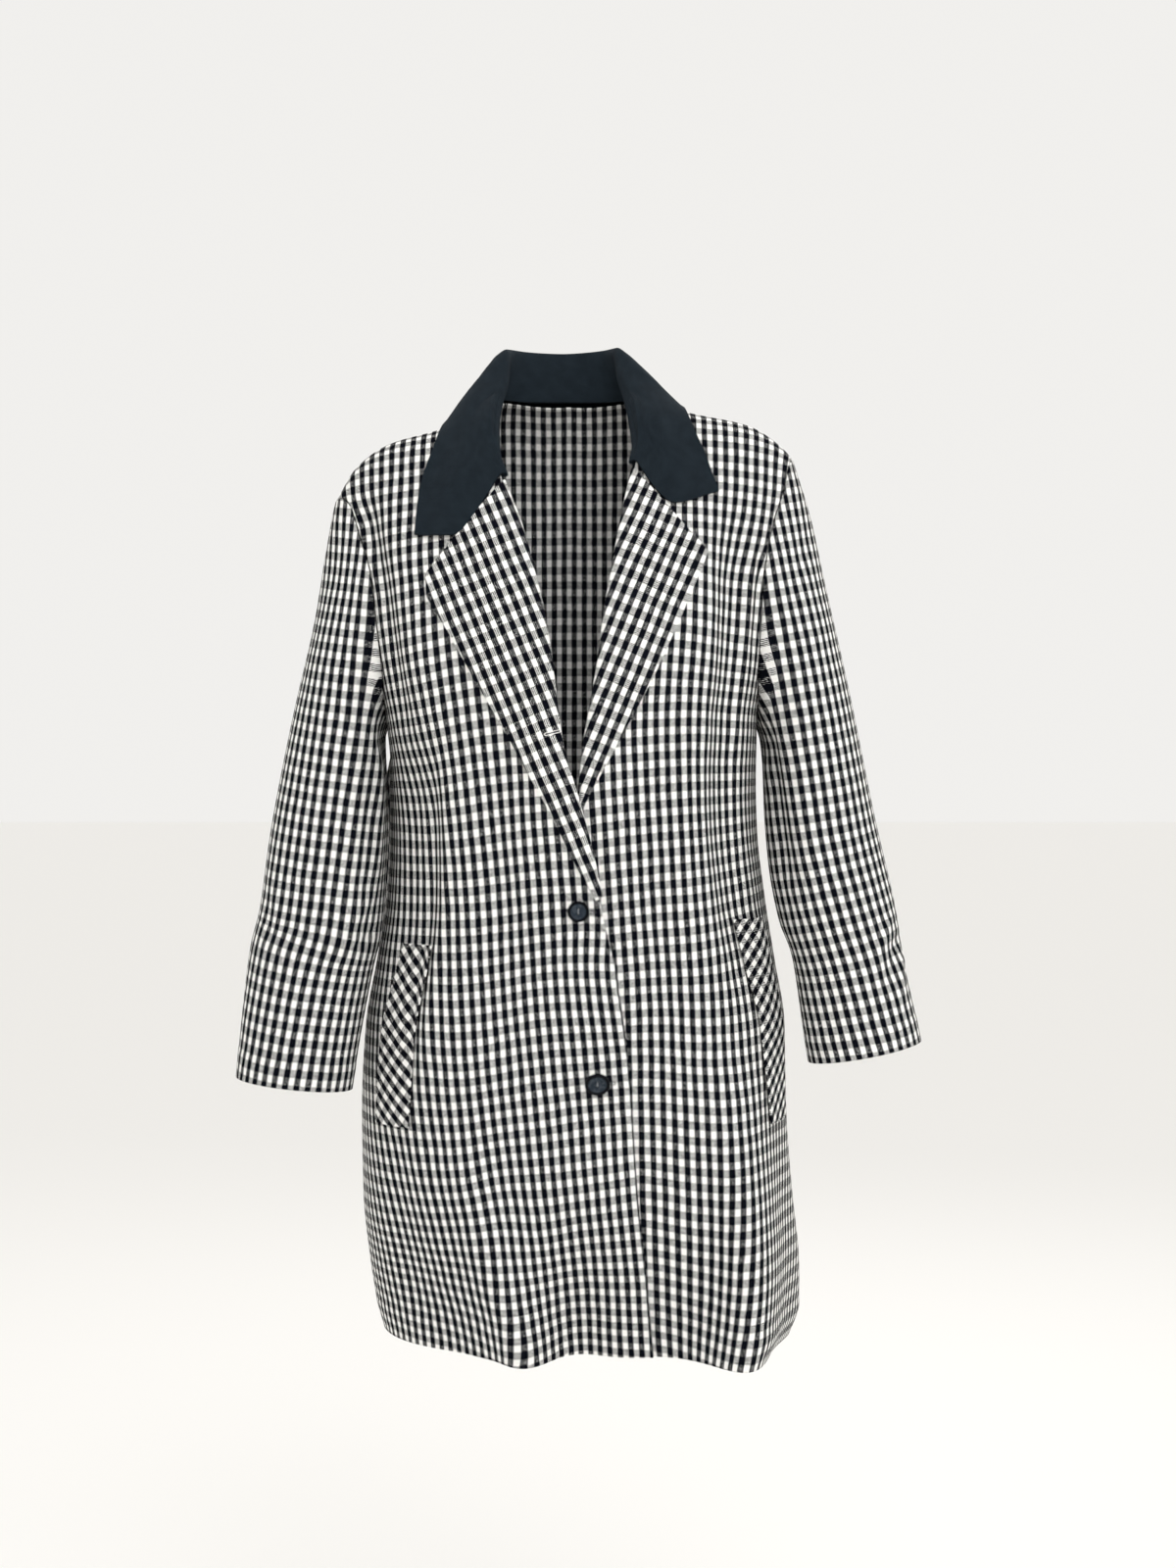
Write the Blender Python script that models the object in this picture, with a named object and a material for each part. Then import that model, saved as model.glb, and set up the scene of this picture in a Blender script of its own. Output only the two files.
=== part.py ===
"""A single-breasted checked coat as it hangs when it is worn: two fronts, a back, two set-in sleeves, a plain
turned-down collar, notched lapels, two slanting pocket welts and two fastened buttons.

Every cut piece is its own closed wall. The body is one surface, read from a table of level sections, and the
fronts and the back are stretches of it. The sleeves start from the same armhole points, and the lapels, welts
and buttons are made from points of the fronts, moved out.

Metres, +Z up. The origin is the middle of the neck at the level of the shoulder points. +X is the wearer's
left, and the front faces -Y.
"""

import math

import bmesh
import bpy
import numpy as np
from mathutils import Matrix, Vector

# Driving sizes.
CLOTH = 0.0020  # thickness of the check cloth
COLLAR_CLOTH = 0.0024  # the collar's two layers of twill, pressed
LAPEL_CLOTH = 0.0016  # the facing that shows on a turned-back lapel
SEAM_GAP = 0.0003  # between two pieces that are sewn together
ARMPIT = 0.300  # depth of the armhole below the shoulder ridge
HEM = 0.872  # shoulder ridge to hem
NECK_HALF = 0.075  # half the width of the neck opening at the shoulders
BACK_NECK_DIP = 0.012  # how far the back neckline dips below the shoulder ridge
BUTTON_THICK = 0.0038

# Shapes of the drape.
SIDE_FROM, SIDE_OVER = 65.0, 25.0  # degrees at which folds start to push sideways, and over which they turn
FOLD_RISES, FOLD_FADES = 0.2, 0.3  # the shares of a fold's length over which it rises and fades
FOLD_GROWS = 1.3  # above 1 a fold changes more towards its lower end
CREASE_ENDS = 0.3  # the share of a sleeve crease's length over which each end fades
LAP_FROM, LAP_OVER = -0.065, 0.050  # x at which the right front starts to lift, and over what width
NECK_DIP_OVER = 0.150  # depth over which the dip of the back neckline fades
LAPEL_ENDS = 0.97  # the share of its outline at which a lapel stops, before it gets too thin to be a wall
WELT_ENDS = 89.0  # degrees: the side seam, which a welt mustn't pass

# How finely each piece is divided.
UPPER_LEVELS = (0.0, 0.003, 0.012, 0.030, 0.058, 0.090, 0.125, 0.160, 0.195, 0.228, 0.256, 0.277, 0.292)
FRONT_COLUMNS = 15
NECK_COLUMNS = 6
LOWER_LEVELS = 16
SLEEVE_RINGS = 26
COLLAR_COLUMNS = 31
LAPEL_ROWS = 16
WELT_ROWS = 9
WELT_COLUMNS = 6
FINE = 60  # points on a line that is only measured
SMOOTHEST = 40.0  # degrees: an edge that is sharper than this isn't shaded smooth
STEP_DOWN, STEP_ROUND = 0.001, 0.3  # metres and degrees between the points that give a slope
STEP_UP = 0.0001  # the same on the shoulders, where the levels are close together

FRONT, BACK = -1, 1  # the side of the body that a point lies on
RIGHT, LEFT = -1, 1  # the wearer's side


def table(names, *rows):
    """Columns of numbers by name, from rows that are written out one for each section or fold."""
    return dict(zip(names.split(), np.array(rows, float).T))


# Level sections of the body. down is measured from the shoulder ridge. front, back and side are the depths (y)
# of the middle front, the middle back and the side seams, right and left are half widths, and a square of 2
# is an ellipse. Above the armpit the half widths run on past the armholes.
BODY = table(
    "down   front   back   side  right  left   square",
    (0.000, 0.000, 0.000, 0.000, 0.240, 0.232, 2.4),
    (0.003, -0.016, 0.024, 0.000, 0.238, 0.230, 2.4),
    (0.012, -0.034, 0.047, 0.000, 0.235, 0.227, 2.4),
    (0.030, -0.050, 0.066, 0.002, 0.230, 0.222, 2.4),
    (0.060, -0.064, 0.083, 0.004, 0.222, 0.216, 2.4),
    (0.100, -0.084, 0.096, 0.006, 0.211, 0.207, 2.4),
    (0.150, -0.106, 0.106, 0.008, 0.200, 0.199, 2.4),
    (0.200, -0.122, 0.111, 0.010, 0.190, 0.191, 2.5),
    (0.250, -0.131, 0.112, 0.012, 0.180, 0.184, 2.6),
    (0.300, -0.136, 0.110, 0.018, 0.171, 0.178, 2.5),
    (0.340, -0.138, 0.106, 0.026, 0.1685, 0.178, 2.3),
    (0.400, -0.137, 0.101, 0.034, 0.1690, 0.180, 2.2),
    (0.460, -0.132, 0.102, 0.033, 0.1725, 0.187, 2.2),
    (0.520, -0.131, 0.109, 0.027, 0.1820, 0.196, 2.3),
    (0.580, -0.133, 0.117, 0.024, 0.192, 0.205, 2.4),
    (0.660, -0.136, 0.125, 0.027, 0.196, 0.206, 2.4),
    (0.740, -0.132, 0.129, 0.031, 0.195, 0.210, 2.4),
    (0.800, -0.118, 0.130, 0.037, 0.190, 0.214, 2.3),
    (0.845, -0.104, 0.130, 0.043, 0.184, 0.212, 2.2),
    (0.872, -0.097, 0.129, 0.046, 0.177, 0.201, 2.2),
)

# Height of the shoulder ridge beside the neck and out to the tips, at a distance out from the middle.
SHOULDER = table(
    "out    right    left",
    (0.000, 0.026, 0.026),
    (0.050, 0.020, 0.020),
    (0.075, 0.010, 0.010),
    (0.100, -0.008, 0.002),
    (0.120, -0.017, -0.003),
    (0.170, -0.032, -0.014),
    (0.200, -0.054, -0.033),
    (0.218, -0.084, -0.054),
    (0.240, -0.120, -0.085),
)

# The armhole, as the angle round the body at which the fronts and the back end.
ARMHOLE = table(
    "down   right  left",
    (0.000, 64.5, 63.5),
    (0.050, 63.0, 66.0),
    (0.100, 64.5, 64.5),
    (0.150, 63.0, 63.5),
    (0.200, 65.5, 66.0),
    (0.250, 69.0, 70.0),
    (0.276, 75.5, 76.0),
    (0.292, 83.0, 83.5),
    (0.300, 90.0, 90.0),
)

# The inner edge of each front, as x at a height: neckline, then the roll line of the lapel, then the front
# edge. The left one lies under the right front below the height where the two cross.
EDGES = table(
    "height  right    left",
    (0.010, -0.0750, 0.0750),
    (-0.020, -0.0735, 0.0720),
    (-0.050, -0.0675, 0.0645),
    (-0.070, -0.0615, 0.0595),
    (-0.120, -0.0430, 0.0490),
    (-0.160, -0.0320, 0.0420),
    (-0.200, -0.0226, 0.0348),
    (-0.240, -0.0158, 0.0297),
    (-0.280, -0.0110, 0.0232),
    (-0.320, -0.0050, 0.0162),
    (-0.370, 0.0090, 0.0107),
    (-0.420, 0.0220, 0.0020),
    (-0.466, 0.0308, -0.0111),
    (-0.520, 0.0430, -0.0060),
    (-0.600, 0.0545, 0.0000),
    (-0.720, 0.0630, 0.0080),
    (-0.800, 0.0715, 0.0140),
    (-0.880, 0.0785, 0.0185),
)


def smooth(at, knots, values):
    """Reads values between their knots on a cubic curve that never overshoots them."""
    at = np.clip(np.asarray(at, float), knots[0], knots[-1])
    spans = np.diff(knots)
    rises = np.diff(values) / spans
    slopes = np.empty(len(knots))
    slopes[0], slopes[-1] = rises[0], rises[-1]
    turning = rises[:-1] * rises[1:] <= 0
    with np.errstate(divide="ignore", invalid="ignore"):
        mean = 3 * (spans[:-1] + spans[1:]) / (
            (2 * spans[1:] + spans[:-1]) / rises[:-1] + (spans[1:] + 2 * spans[:-1]) / rises[1:]
        )
    slopes[1:-1] = np.where(turning, 0.0, mean)
    i = np.clip(np.searchsorted(knots, at, side="right") - 1, 0, len(spans) - 1)
    t = (at - knots[i]) / spans[i]
    start = (1 + 2 * t) * (1 - t) ** 2 * values[i] + t * (1 - t) ** 2 * spans[i] * slopes[i]
    end = t**2 * (3 - 2 * t) * values[i + 1] + t**2 * (t - 1) * spans[i] * slopes[i + 1]
    return start + end


def read(which, column, at):
    """One column of a table, read at values of its first column."""
    keys = next(iter(which.values()))
    if keys[0] > keys[-1]:
        return smooth(at, keys[::-1], which[column][::-1])
    return smooth(at, keys, which[column])


def ease(t):
    """0 to 1 with level ends."""
    t = np.clip(t, 0, 1)
    return t * t * (3 - 2 * t)


def by_side(which, at, x):
    """The right or the left column of a table, by the sign of x."""
    return np.where(np.asarray(x) < 0, read(which, "right", at), read(which, "left", at))


def ridge_share(down):
    """How much of the shoulders' slope is still in a level this far down."""
    return (1 - np.clip(down / ARMPIT, 0, 1)) ** 2


def body(face, turn, down):
    """A point of the body's cloth. turn is the angle in degrees from the middle (0) to a side seam (-90, 90)."""
    turn, down = np.broadcast_arrays(np.asarray(turn, float), np.asarray(down, float))
    half = by_side(BODY, down, turn)
    side = read(BODY, "side", down)
    depth = read(BODY, "front" if face == FRONT else "back", down) - side
    power = 2 / read(BODY, "square", down)
    angle = np.radians(np.abs(turn))
    across, along = np.sin(angle), np.maximum(np.cos(angle), 0)
    x = np.sign(turn) * half * across**power
    y = side + depth * along**power
    z = -down + by_side(SHOULDER, np.abs(x), x) * ridge_share(down)
    sideways = ease((np.abs(turn) - SIDE_FROM) / SIDE_OVER)
    rise = folds(face, turn, down) / np.hypot(sideways, 1 - sideways)
    return np.stack([x + np.sign(turn) * sideways * rise, y + face * (1 - sideways) * rise, z], axis=-1)


# The larger folds of the body. Each runs from one level to another at an angle round the body (0 middle
# front, -90 and 90 the side seams, 180 middle back), with a half width in degrees and a height, negative
# for a trough. Those that run past the hem are open there, as waves.
BODY_FOLDS = table(
    "top    bottom  from_turn to_turn  wide  first  last",
    (0.040, 0.340, -44.0, -43.0, 7.0, 0.006, 0.004),
    (0.040, 0.330, -57.0, -55.0, 6.0, -0.009, -0.007),
    (0.300, 0.660, -33.0, -30.0, 8.0, 0.006, 0.004),
    (0.300, 0.640, -52.0, -50.0, 9.0, -0.008, -0.005),
    (0.060, 0.620, 31.0, 39.0, 8.0, 0.008, 0.006),
    (0.060, 0.600, 45.0, 53.0, 8.0, -0.013, -0.007),
    (0.640, 0.960, -33.0, -4.6, 11.0, 0.000, 0.070),
    (0.700, 0.960, 0.0, 2.0, 7.0, 0.000, -0.040),
    (0.560, 0.960, 46.0, 54.0, 19.0, 0.000, 0.145),
    (0.450, 0.960, -128.0, -132.0, 12.0, 0.002, 0.024),
    (0.310, 0.520, -98.0, -98.0, 7.0, 0.009, 0.009),
    (0.380, 0.960, 176.0, 170.0, 13.0, 0.004, 0.030),
    (0.480, 0.960, 135.0, 128.0, 12.0, 0.002, 0.026),
    (0.420, 0.960, -156.0, -152.0, 9.0, -0.002, -0.014),
    (0.420, 0.960, 152.0, 148.0, 10.0, -0.002, -0.014),
)


def folds(face, turn, down):
    """How far the folds push the cloth out."""
    ring = turn if face == FRONT else np.where(turn < 0, -180 - turn, 180 - turn)
    rise = np.zeros(np.broadcast(turn, down).shape)
    for top, bottom, start, end, wide, first, last in zip(*BODY_FOLDS.values()):
        along = (down - top) / (bottom - top)
        shape = (first + (last - first) * np.clip(along, 0, 1) ** FOLD_GROWS) * ease(along / FOLD_RISES)
        if bottom < HEM:
            shape = shape * ease((1 - along) / FOLD_FADES)
        middle = start + (end - start) * along
        away = (ring - middle + 180) % 360 - 180
        rise = rise + shape * np.exp(-((away / wide) ** 2))
    return rise


def turn_at(x, down):
    """The angle round the body at which a level reaches x."""
    half = by_side(BODY, down, x)
    share = np.clip(np.abs(x) / half, 0, 1) ** (read(BODY, "square", down) / 2)
    return np.sign(x) * np.degrees(np.arcsin(share))


def down_at(x, height):
    """The level on which the body at x has this height."""
    down = np.maximum(-np.asarray(height, float), 0.0)
    for _ in range(12):
        down = np.maximum(by_side(SHOULDER, np.abs(x), x) * ridge_share(down) - height, 0.0)
    return down


def edge_x(side, down):
    """x of a front's inner edge on each level."""
    column = "right" if side == RIGHT else "left"
    x = read(EDGES, column, -down)
    for _ in range(6):
        x = read(EDGES, column, -down + by_side(SHOULDER, np.abs(x), x) * ridge_share(down))
    return x


LAP_LIFT = table(
    "down   lift",
    (0.280, 0.0000),
    (0.345, 0.0075),
    (0.380, 0.0095),
    (0.460, 0.0080),
    (0.530, 0.0050),
    (0.880, 0.0045),
)


def front(side, turn, down):
    """A point of a front. The right one lifts where it laps over the left one."""
    point = body(FRONT, turn, down)
    if side == RIGHT:
        lift = read(LAP_LIFT, "lift", down) * (down > LAP_LIFT["down"][0])
        point[..., 1] -= lift * ease((point[..., 0] - LAP_FROM) / LAP_OVER)
    return point


def equal_turns(surface, start, end, down, count):
    """Angles from start to end on one level, at equal distances along the cloth."""
    fine = np.linspace(start, end, 8 * count)
    steps = np.linalg.norm(np.diff(surface(fine, np.full_like(fine, down)), axis=0), axis=1)
    run = np.r_[0, np.cumsum(steps)]
    return np.interp(np.linspace(0, run[-1], count), run, fine)


def levels():
    """The levels on which the body is cut, closer together over the shoulders and at the armpits."""
    return np.r_[UPPER_LEVELS, np.linspace(ARMPIT, HEM, LOWER_LEVELS + 1)]


def front_grid(side):
    """Rows of points from the front edge out to the armhole or side seam, from the shoulder to the hem."""
    rows = []
    for down in levels():
        start = turn_at(edge_x(side, down), down)
        end = side * float(read(ARMHOLE, "right" if side == RIGHT else "left", down))

        def on_front(turn, at):
            return front(side, turn, at)

        turns = equal_turns(on_front, float(start), end, down, FRONT_COLUMNS)
        rows.append(front(side, turns, np.full_like(turns, down)))
    return np.array(rows)


def back_grid():
    """Rows of points from the right side to the left, with the middle columns starting at the neckline."""

    def on_back(turn, at):
        return body(BACK, turn, at)

    rows = []
    for down in levels():
        neck = [float(turn_at(side * NECK_HALF, down)) for side in (RIGHT, LEFT)]
        ends = [-float(read(ARMHOLE, "right", down)), float(read(ARMHOLE, "left", down))]
        turns = np.r_[
            equal_turns(on_back, ends[0], neck[0], down, FRONT_COLUMNS),
            equal_turns(on_back, neck[0], neck[1], down, NECK_COLUMNS + 1)[1:-1],
            equal_turns(on_back, neck[1], ends[1], down, FRONT_COLUMNS),
        ]
        x = body(BACK, turns, np.full_like(turns, down))[:, 0]
        dip = BACK_NECK_DIP * np.clip(1 - (x / NECK_HALF) ** 2, 0, 1) * max(0.0, 1 - down / NECK_DIP_OVER)
        rows.append(body(BACK, turns, down + dip))
    return np.array(rows)


def unit(vectors):
    return vectors / np.maximum(np.linalg.norm(vectors, axis=-1, keepdims=True), 1e-12)


def normals_of(grid, closed=False, above=None, left=None, right=None):
    """Unit normals of a grid. A neighbour's row or column carries them smoothly over a seam."""
    along = np.gradient(grid, axis=0)
    across = np.gradient(grid, axis=1)
    if closed:
        across = np.roll(grid, -1, axis=1) - np.roll(grid, 1, axis=1)
    if above is not None:
        known = np.isfinite(above[:, 0])
        along[0, known] = grid[1, known] - above[known]
    if left is not None:
        across[:, 0] = np.where(np.isfinite(left), grid[:, 1] - left, across[:, 0])
    if right is not None:
        across[:, -1] = np.where(np.isfinite(right), right - grid[:, -2], across[:, -1])
    return unit(np.cross(across, along))


def finish(name, colour, roughness):
    """A plain material with the colour and roughness of one kind of cloth or button."""
    material = bpy.data.materials.new(name)
    material.use_nodes = True
    shader = material.node_tree.nodes["Principled BSDF"]
    shader.inputs["Base Color"].default_value = (*colour, 1.0)
    shader.inputs["Roughness"].default_value = roughness
    material.diffuse_color = (*colour, 1.0)
    return material


def wall(name, middle, normals, thick, material, closed=False):
    """A closed wall of even thickness on both sides of a grid of points."""
    rows, columns = middle.shape[:2]
    outer = (middle + normals * thick / 2).reshape(-1, 3)
    inner = (middle - normals * thick / 2).reshape(-1, 3)
    mesh = bmesh.new()
    bmesh.ops.create_grid(mesh, x_segments=columns - 1 + closed, y_segments=rows - 1, size=0.5)
    spot = mesh.verts.layers.int.new("spot")
    for vert in mesh.verts:
        column = round((vert.co.x + 0.5) * (columns - 1 + closed)) % columns
        row = round((vert.co.y + 0.5) * (rows - 1))
        vert[spot] = row * columns + column
        vert.co = Vector(outer[vert[spot]])
    if closed:
        bmesh.ops.remove_doubles(mesh, verts=mesh.verts[:], dist=1e-7)
    made = bmesh.ops.extrude_face_region(mesh, geom=mesh.faces[:], use_keep_orig=True)
    for vert in (item for item in made["geom"] if isinstance(item, bmesh.types.BMVert)):
        vert.co = Vector(inner[vert[spot]])
    bmesh.ops.recalc_face_normals(mesh, faces=mesh.faces[:])
    return add(name, mesh, material)


def add(name, mesh, material):
    """Puts a bmesh into the scene as a named object."""
    data = bpy.data.meshes.new(name)
    mesh.to_mesh(data)
    mesh.free()
    data.materials.append(material)
    data.shade_smooth()
    data.set_sharp_from_angle(angle=math.radians(SMOOTHEST))
    piece = bpy.data.objects.new(name, data)
    bpy.context.scene.collection.objects.link(piece)
    return piece


def set_back(grid, top=False, left=False, right=False):
    """Draws the sewn edges of a piece back by half the seam gap."""
    grid = grid.copy()
    half = SEAM_GAP / 2
    if top:
        grid[0] += unit(grid[1] - grid[0]) * half
    if left:
        grid[:, 0] += unit(grid[:, 1] - grid[:, 0]) * half
    if right:
        grid[:, -1] += unit(grid[:, -2] - grid[:, -1]) * half
    return grid


def body_panels(check):
    """The two fronts and the back, whose walls meet on shared points at the shoulders and the side seams."""
    right, left, back = front_grid(RIGHT), front_grid(LEFT), back_grid()
    below = levels() >= ARMPIT
    hidden = np.full((len(below), 3), np.nan)
    right_beside, left_beside = hidden.copy(), hidden.copy()
    right_beside[below], left_beside[below] = back[below, 1], back[below, -2]
    over = back[1, :FRONT_COLUMNS][::-1]
    wall(
        "front_right",
        set_back(right, top=True, right=True),
        normals_of(right, above=over, right=right_beside),
        CLOTH,
        check,
    )
    over = back[1, -FRONT_COLUMNS:]
    wall(
        "front_left",
        set_back(left, top=True, right=True),
        normals_of(left, above=over, right=left_beside),
        CLOTH,
        check,
    )
    over = np.full((back.shape[1], 3), np.nan)
    over[:FRONT_COLUMNS] = right[1][::-1]
    over[-FRONT_COLUMNS:] = left[1]
    right_beside[below], left_beside[below] = right[below, -2], left[below, -2]
    wall(
        "back",
        set_back(back, top=True, left=True, right=True),
        normals_of(back, above=over, left=right_beside, right=left_beside),
        CLOTH,
        check,
    )
    return right, left, back


# Each sleeve from its cap to its cuff: the outer and the under edge as seen from the front, and the depth (y)
# of its middle and half its thickness from front to back.
RIGHT_SLEEVE = table(
    "outer_x  outer_z  under_x  under_z  middle  half",
    (-0.2190, -0.0870, -0.1700, -0.2990, 0.004, 0.055),
    (-0.2290, -0.1410, -0.1745, -0.3200, 0.000, 0.062),
    (-0.2395, -0.2030, -0.1730, -0.3450, -0.004, 0.064),
    (-0.2590, -0.2930, -0.1712, -0.3900, -0.012, 0.063),
    (-0.2780, -0.3990, -0.1724, -0.4500, -0.024, 0.061),
    (-0.2865, -0.4690, -0.1745, -0.4900, -0.034, 0.058),
    (-0.2947, -0.5050, -0.1815, -0.5200, -0.038, 0.056),
    (-0.3009, -0.5720, -0.1920, -0.5800, -0.052, 0.053),
    (-0.3040, -0.6220, -0.2000, -0.6340, -0.062, 0.051),
)
LEFT_SLEEVE = table(
    "outer_x  outer_z  under_x  under_z  middle  half",
    (0.2120, -0.0540, 0.1780, -0.2990, 0.004, 0.055),
    (0.2304, -0.1130, 0.1830, -0.3180, 0.000, 0.062),
    (0.2434, -0.1720, 0.1850, -0.3380, -0.004, 0.064),
    (0.2646, -0.2680, 0.1860, -0.3750, -0.008, 0.063),
    (0.2868, -0.3800, 0.1900, -0.4300, -0.013, 0.060),
    (0.3060, -0.4720, 0.1985, -0.4800, -0.026, 0.057),
    (0.3118, -0.5160, 0.2097, -0.5120, -0.034, 0.054),
    (0.3225, -0.5720, 0.2193, -0.5800, -0.046, 0.051),
    (0.3252, -0.5900, 0.2238, -0.6100, -0.054, 0.050),
)
# The larger creases of each sleeve, as shares of its length and angles round it (0 along the top and outside, 90
# the front, 180 underneath), with a half width in degrees and a height, negative for a trough.
RIGHT_SLEEVE_FOLDS = table(
    "top   bottom  from_turn to_turn  wide  first  last",
    (0.22, 0.80, 112.0, 122.0, 15.0, -0.004, -0.006),
    (0.16, 0.56, 150.0, 146.0, 13.0, -0.004, -0.004),
    (0.30, 0.74, 62.0, 70.0, 22.0, 0.002, 0.003),
    (0.52, 0.84, 205.0, 250.0, 16.0, -0.004, -0.005),
    (0.60, 0.90, 262.0, 300.0, 16.0, 0.003, 0.003),
)
LEFT_SLEEVE_FOLDS = table(
    "top   bottom  from_turn to_turn  wide  first  last",
    (0.06, 0.62, 152.0, 140.0, 15.0, -0.006, -0.006),
    (0.20, 0.70, 112.0, 104.0, 18.0, 0.003, 0.003),
    (0.66, 0.82, 20.0, 62.0, 13.0, -0.004, -0.003),
    (0.52, 0.84, 208.0, 246.0, 16.0, -0.004, -0.005),
    (0.60, 0.90, 268.0, 304.0, 16.0, 0.003, 0.003),
)
TOP_STANDOFF = 0.0007  # from the armhole's edge to the sleeve's first ring, at the top of the shoulder
UNDER_STANDOFF = 0.0027  # and under the arm, where the sleeve folds back down beside the body
CAP = 0.30  # the share of a sleeve over which its cap leaves the shape of the armhole


def armhole_loop(side, front_points, back_points):
    """The armhole's points, from the shoulder down the front edge and up the back edge, and their angles."""
    count = int(np.sum(levels() <= ARMPIT))
    down_front = front_points[:count, -1]
    up_back = back_points[:count, 0 if side == RIGHT else -1][::-1]
    angles = []
    for line, first in ((down_front, 0.0), (up_back, 180.0)):
        run = np.r_[0, np.cumsum(np.linalg.norm(np.diff(line, axis=0), axis=1))]
        angles.append(first + 180 * run / run[-1])
    return np.r_[down_front, up_back[1:-1]], np.r_[angles[0], angles[1][1:-1]]


def crease(creases, share, angles):
    """How far the creases push the cloth of a sleeve out."""
    rise = np.zeros((len(share), len(angles)))
    for top, bottom, start, end, wide, first, last in zip(*creases.values()):
        along = (share[:, None] - top) / (bottom - top)
        shape = first + (last - first) * np.clip(along, 0, 1)
        shape = shape * ease(along / CREASE_ENDS) * ease((1 - along) / CREASE_ENDS)
        away = (angles[None] - start - (end - start) * along + 180) % 360 - 180
        rise += shape * np.exp(-((away / wide) ** 2))
    return rise


def sleeve(name, side, guide, creases, loop, angles, check):
    """A tube from the armhole to the cuff. Angles run from the top of the shoulder forwards and under."""
    share = np.linspace(0, 1, SLEEVE_RINGS)
    keys = np.linspace(0, 1, len(guide["middle"]))
    run = {column: smooth(share, keys, values)[:, None] for column, values in guide.items()}
    turn = np.radians(angles)[None, :]
    up, fore = np.cos(turn), np.sin(turn)
    x = (run["outer_x"] + run["under_x"]) / 2 + (run["outer_x"] - run["under_x"]) / 2 * up
    z = (run["outer_z"] + run["under_z"]) / 2 + (run["outer_z"] - run["under_z"]) / 2 * up
    y = run["middle"] - run["half"] * fore
    rings = np.stack([x, y, z], axis=-1)
    above, under = (1 + up[0]) / 2, (1 - up[0]) / 2
    start = loop.copy()
    start[:, 0] += side * (TOP_STANDOFF * above + UNDER_STANDOFF * under)
    start[:, 2] -= TOP_STANDOFF * above
    fade = (1 - ease(share / CAP))[:, None, None]
    rings = rings + (start - rings[0])[None] * fade
    rings = rings + normals_of(rings, closed=True) * crease(creases, share, angles)[..., None]
    return wall(name, rings, normals_of(rings, closed=True), CLOTH, check, closed=True)


def lifted(side, turn, down, lift):
    """A point of a front, moved out from the middle of its cloth."""
    along = front(side, turn, down + STEP_DOWN) - front(side, turn, down - STEP_DOWN)
    across = front(side, turn + STEP_ROUND, down) - front(side, turn - STEP_ROUND, down)
    return front(side, turn, down) + unit(np.cross(along, across)) * np.asarray(lift, float)[..., None]


# The outer edge of each lapel, from its point down to where it runs into the front edge.
RIGHT_LAPEL_EDGE = table(
    "x       height",
    (-0.1283, -0.1625),
    (-0.1270, -0.1840),
    (-0.1065, -0.2164),
    (-0.0826, -0.2588),
    (-0.0460, -0.3215),
    (-0.0163, -0.3757),
    (0.0116, -0.4324),
    (0.0308, -0.4655),
)
LEFT_LAPEL_EDGE = table(
    "x       height",
    (0.1264, -0.1420),
    (0.1160, -0.1690),
    (0.1024, -0.2031),
    (0.0756, -0.2600),
    (0.0448, -0.3171),
    (0.0169, -0.3678),
    (0.0110, -0.3850),
)
RIGHT_ROLL = (-0.0770, -0.466)  # heights between which the right lapel rolls back
LEFT_ROLL = (-0.0655, -0.383)

# The section of a lapel across its roll: inside the front, round its edge and out again. near is the distance
# from the roll line in metres, far the share of the lapel's width, lift the distance from the front's cloth.
ROLL = table(
    "near     far   lift",
    (0.0120, 0.00, -0.0032),
    (0.0050, 0.00, -0.0031),
    (0.0000, 0.00, -0.0029),
    (-0.0019, 0.00, -0.0014),
    (-0.0024, 0.00, 0.0003),
    (-0.0017, 0.00, 0.0020),
    (0.0006, 0.00, 0.0032),
    (0.0000, 0.20, 0.0041),
    (0.0000, 0.48, 0.0037),
    (0.0000, 0.76, 0.0030),
    (0.0000, 1.00, 0.0027),
)


def lapel(name, side, edge, roll_heights, check):
    """The facing turned back over a front, following it all the way round its roll line."""
    share = np.linspace(0, LAPEL_ENDS, LAPEL_ROWS)
    run = np.r_[0, np.cumsum(np.hypot(np.diff(edge["x"]), np.diff(edge["height"])))]
    outer_x = np.interp(share, run / run[-1], edge["x"])
    outer_z = np.interp(share, run / run[-1], edge["height"])
    roll_z = roll_heights[0] + (roll_heights[1] - roll_heights[0]) * share
    roll_x = read(EDGES, "right" if side == RIGHT else "left", roll_z)
    width = np.hypot(outer_x - roll_x, outer_z - roll_z)
    reach = ROLL["near"][None] / width[:, None] + ROLL["far"][None]
    x = roll_x[:, None] + (outer_x - roll_x)[:, None] * reach
    z = roll_z[:, None] + (outer_z - roll_z)[:, None] * reach
    down = down_at(x, z)
    grid = lifted(side, turn_at(x, down), down, np.broadcast_to(ROLL["lift"], x.shape))
    return wall(name, grid, normals_of(grid), LAPEL_CLOTH, check)


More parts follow.
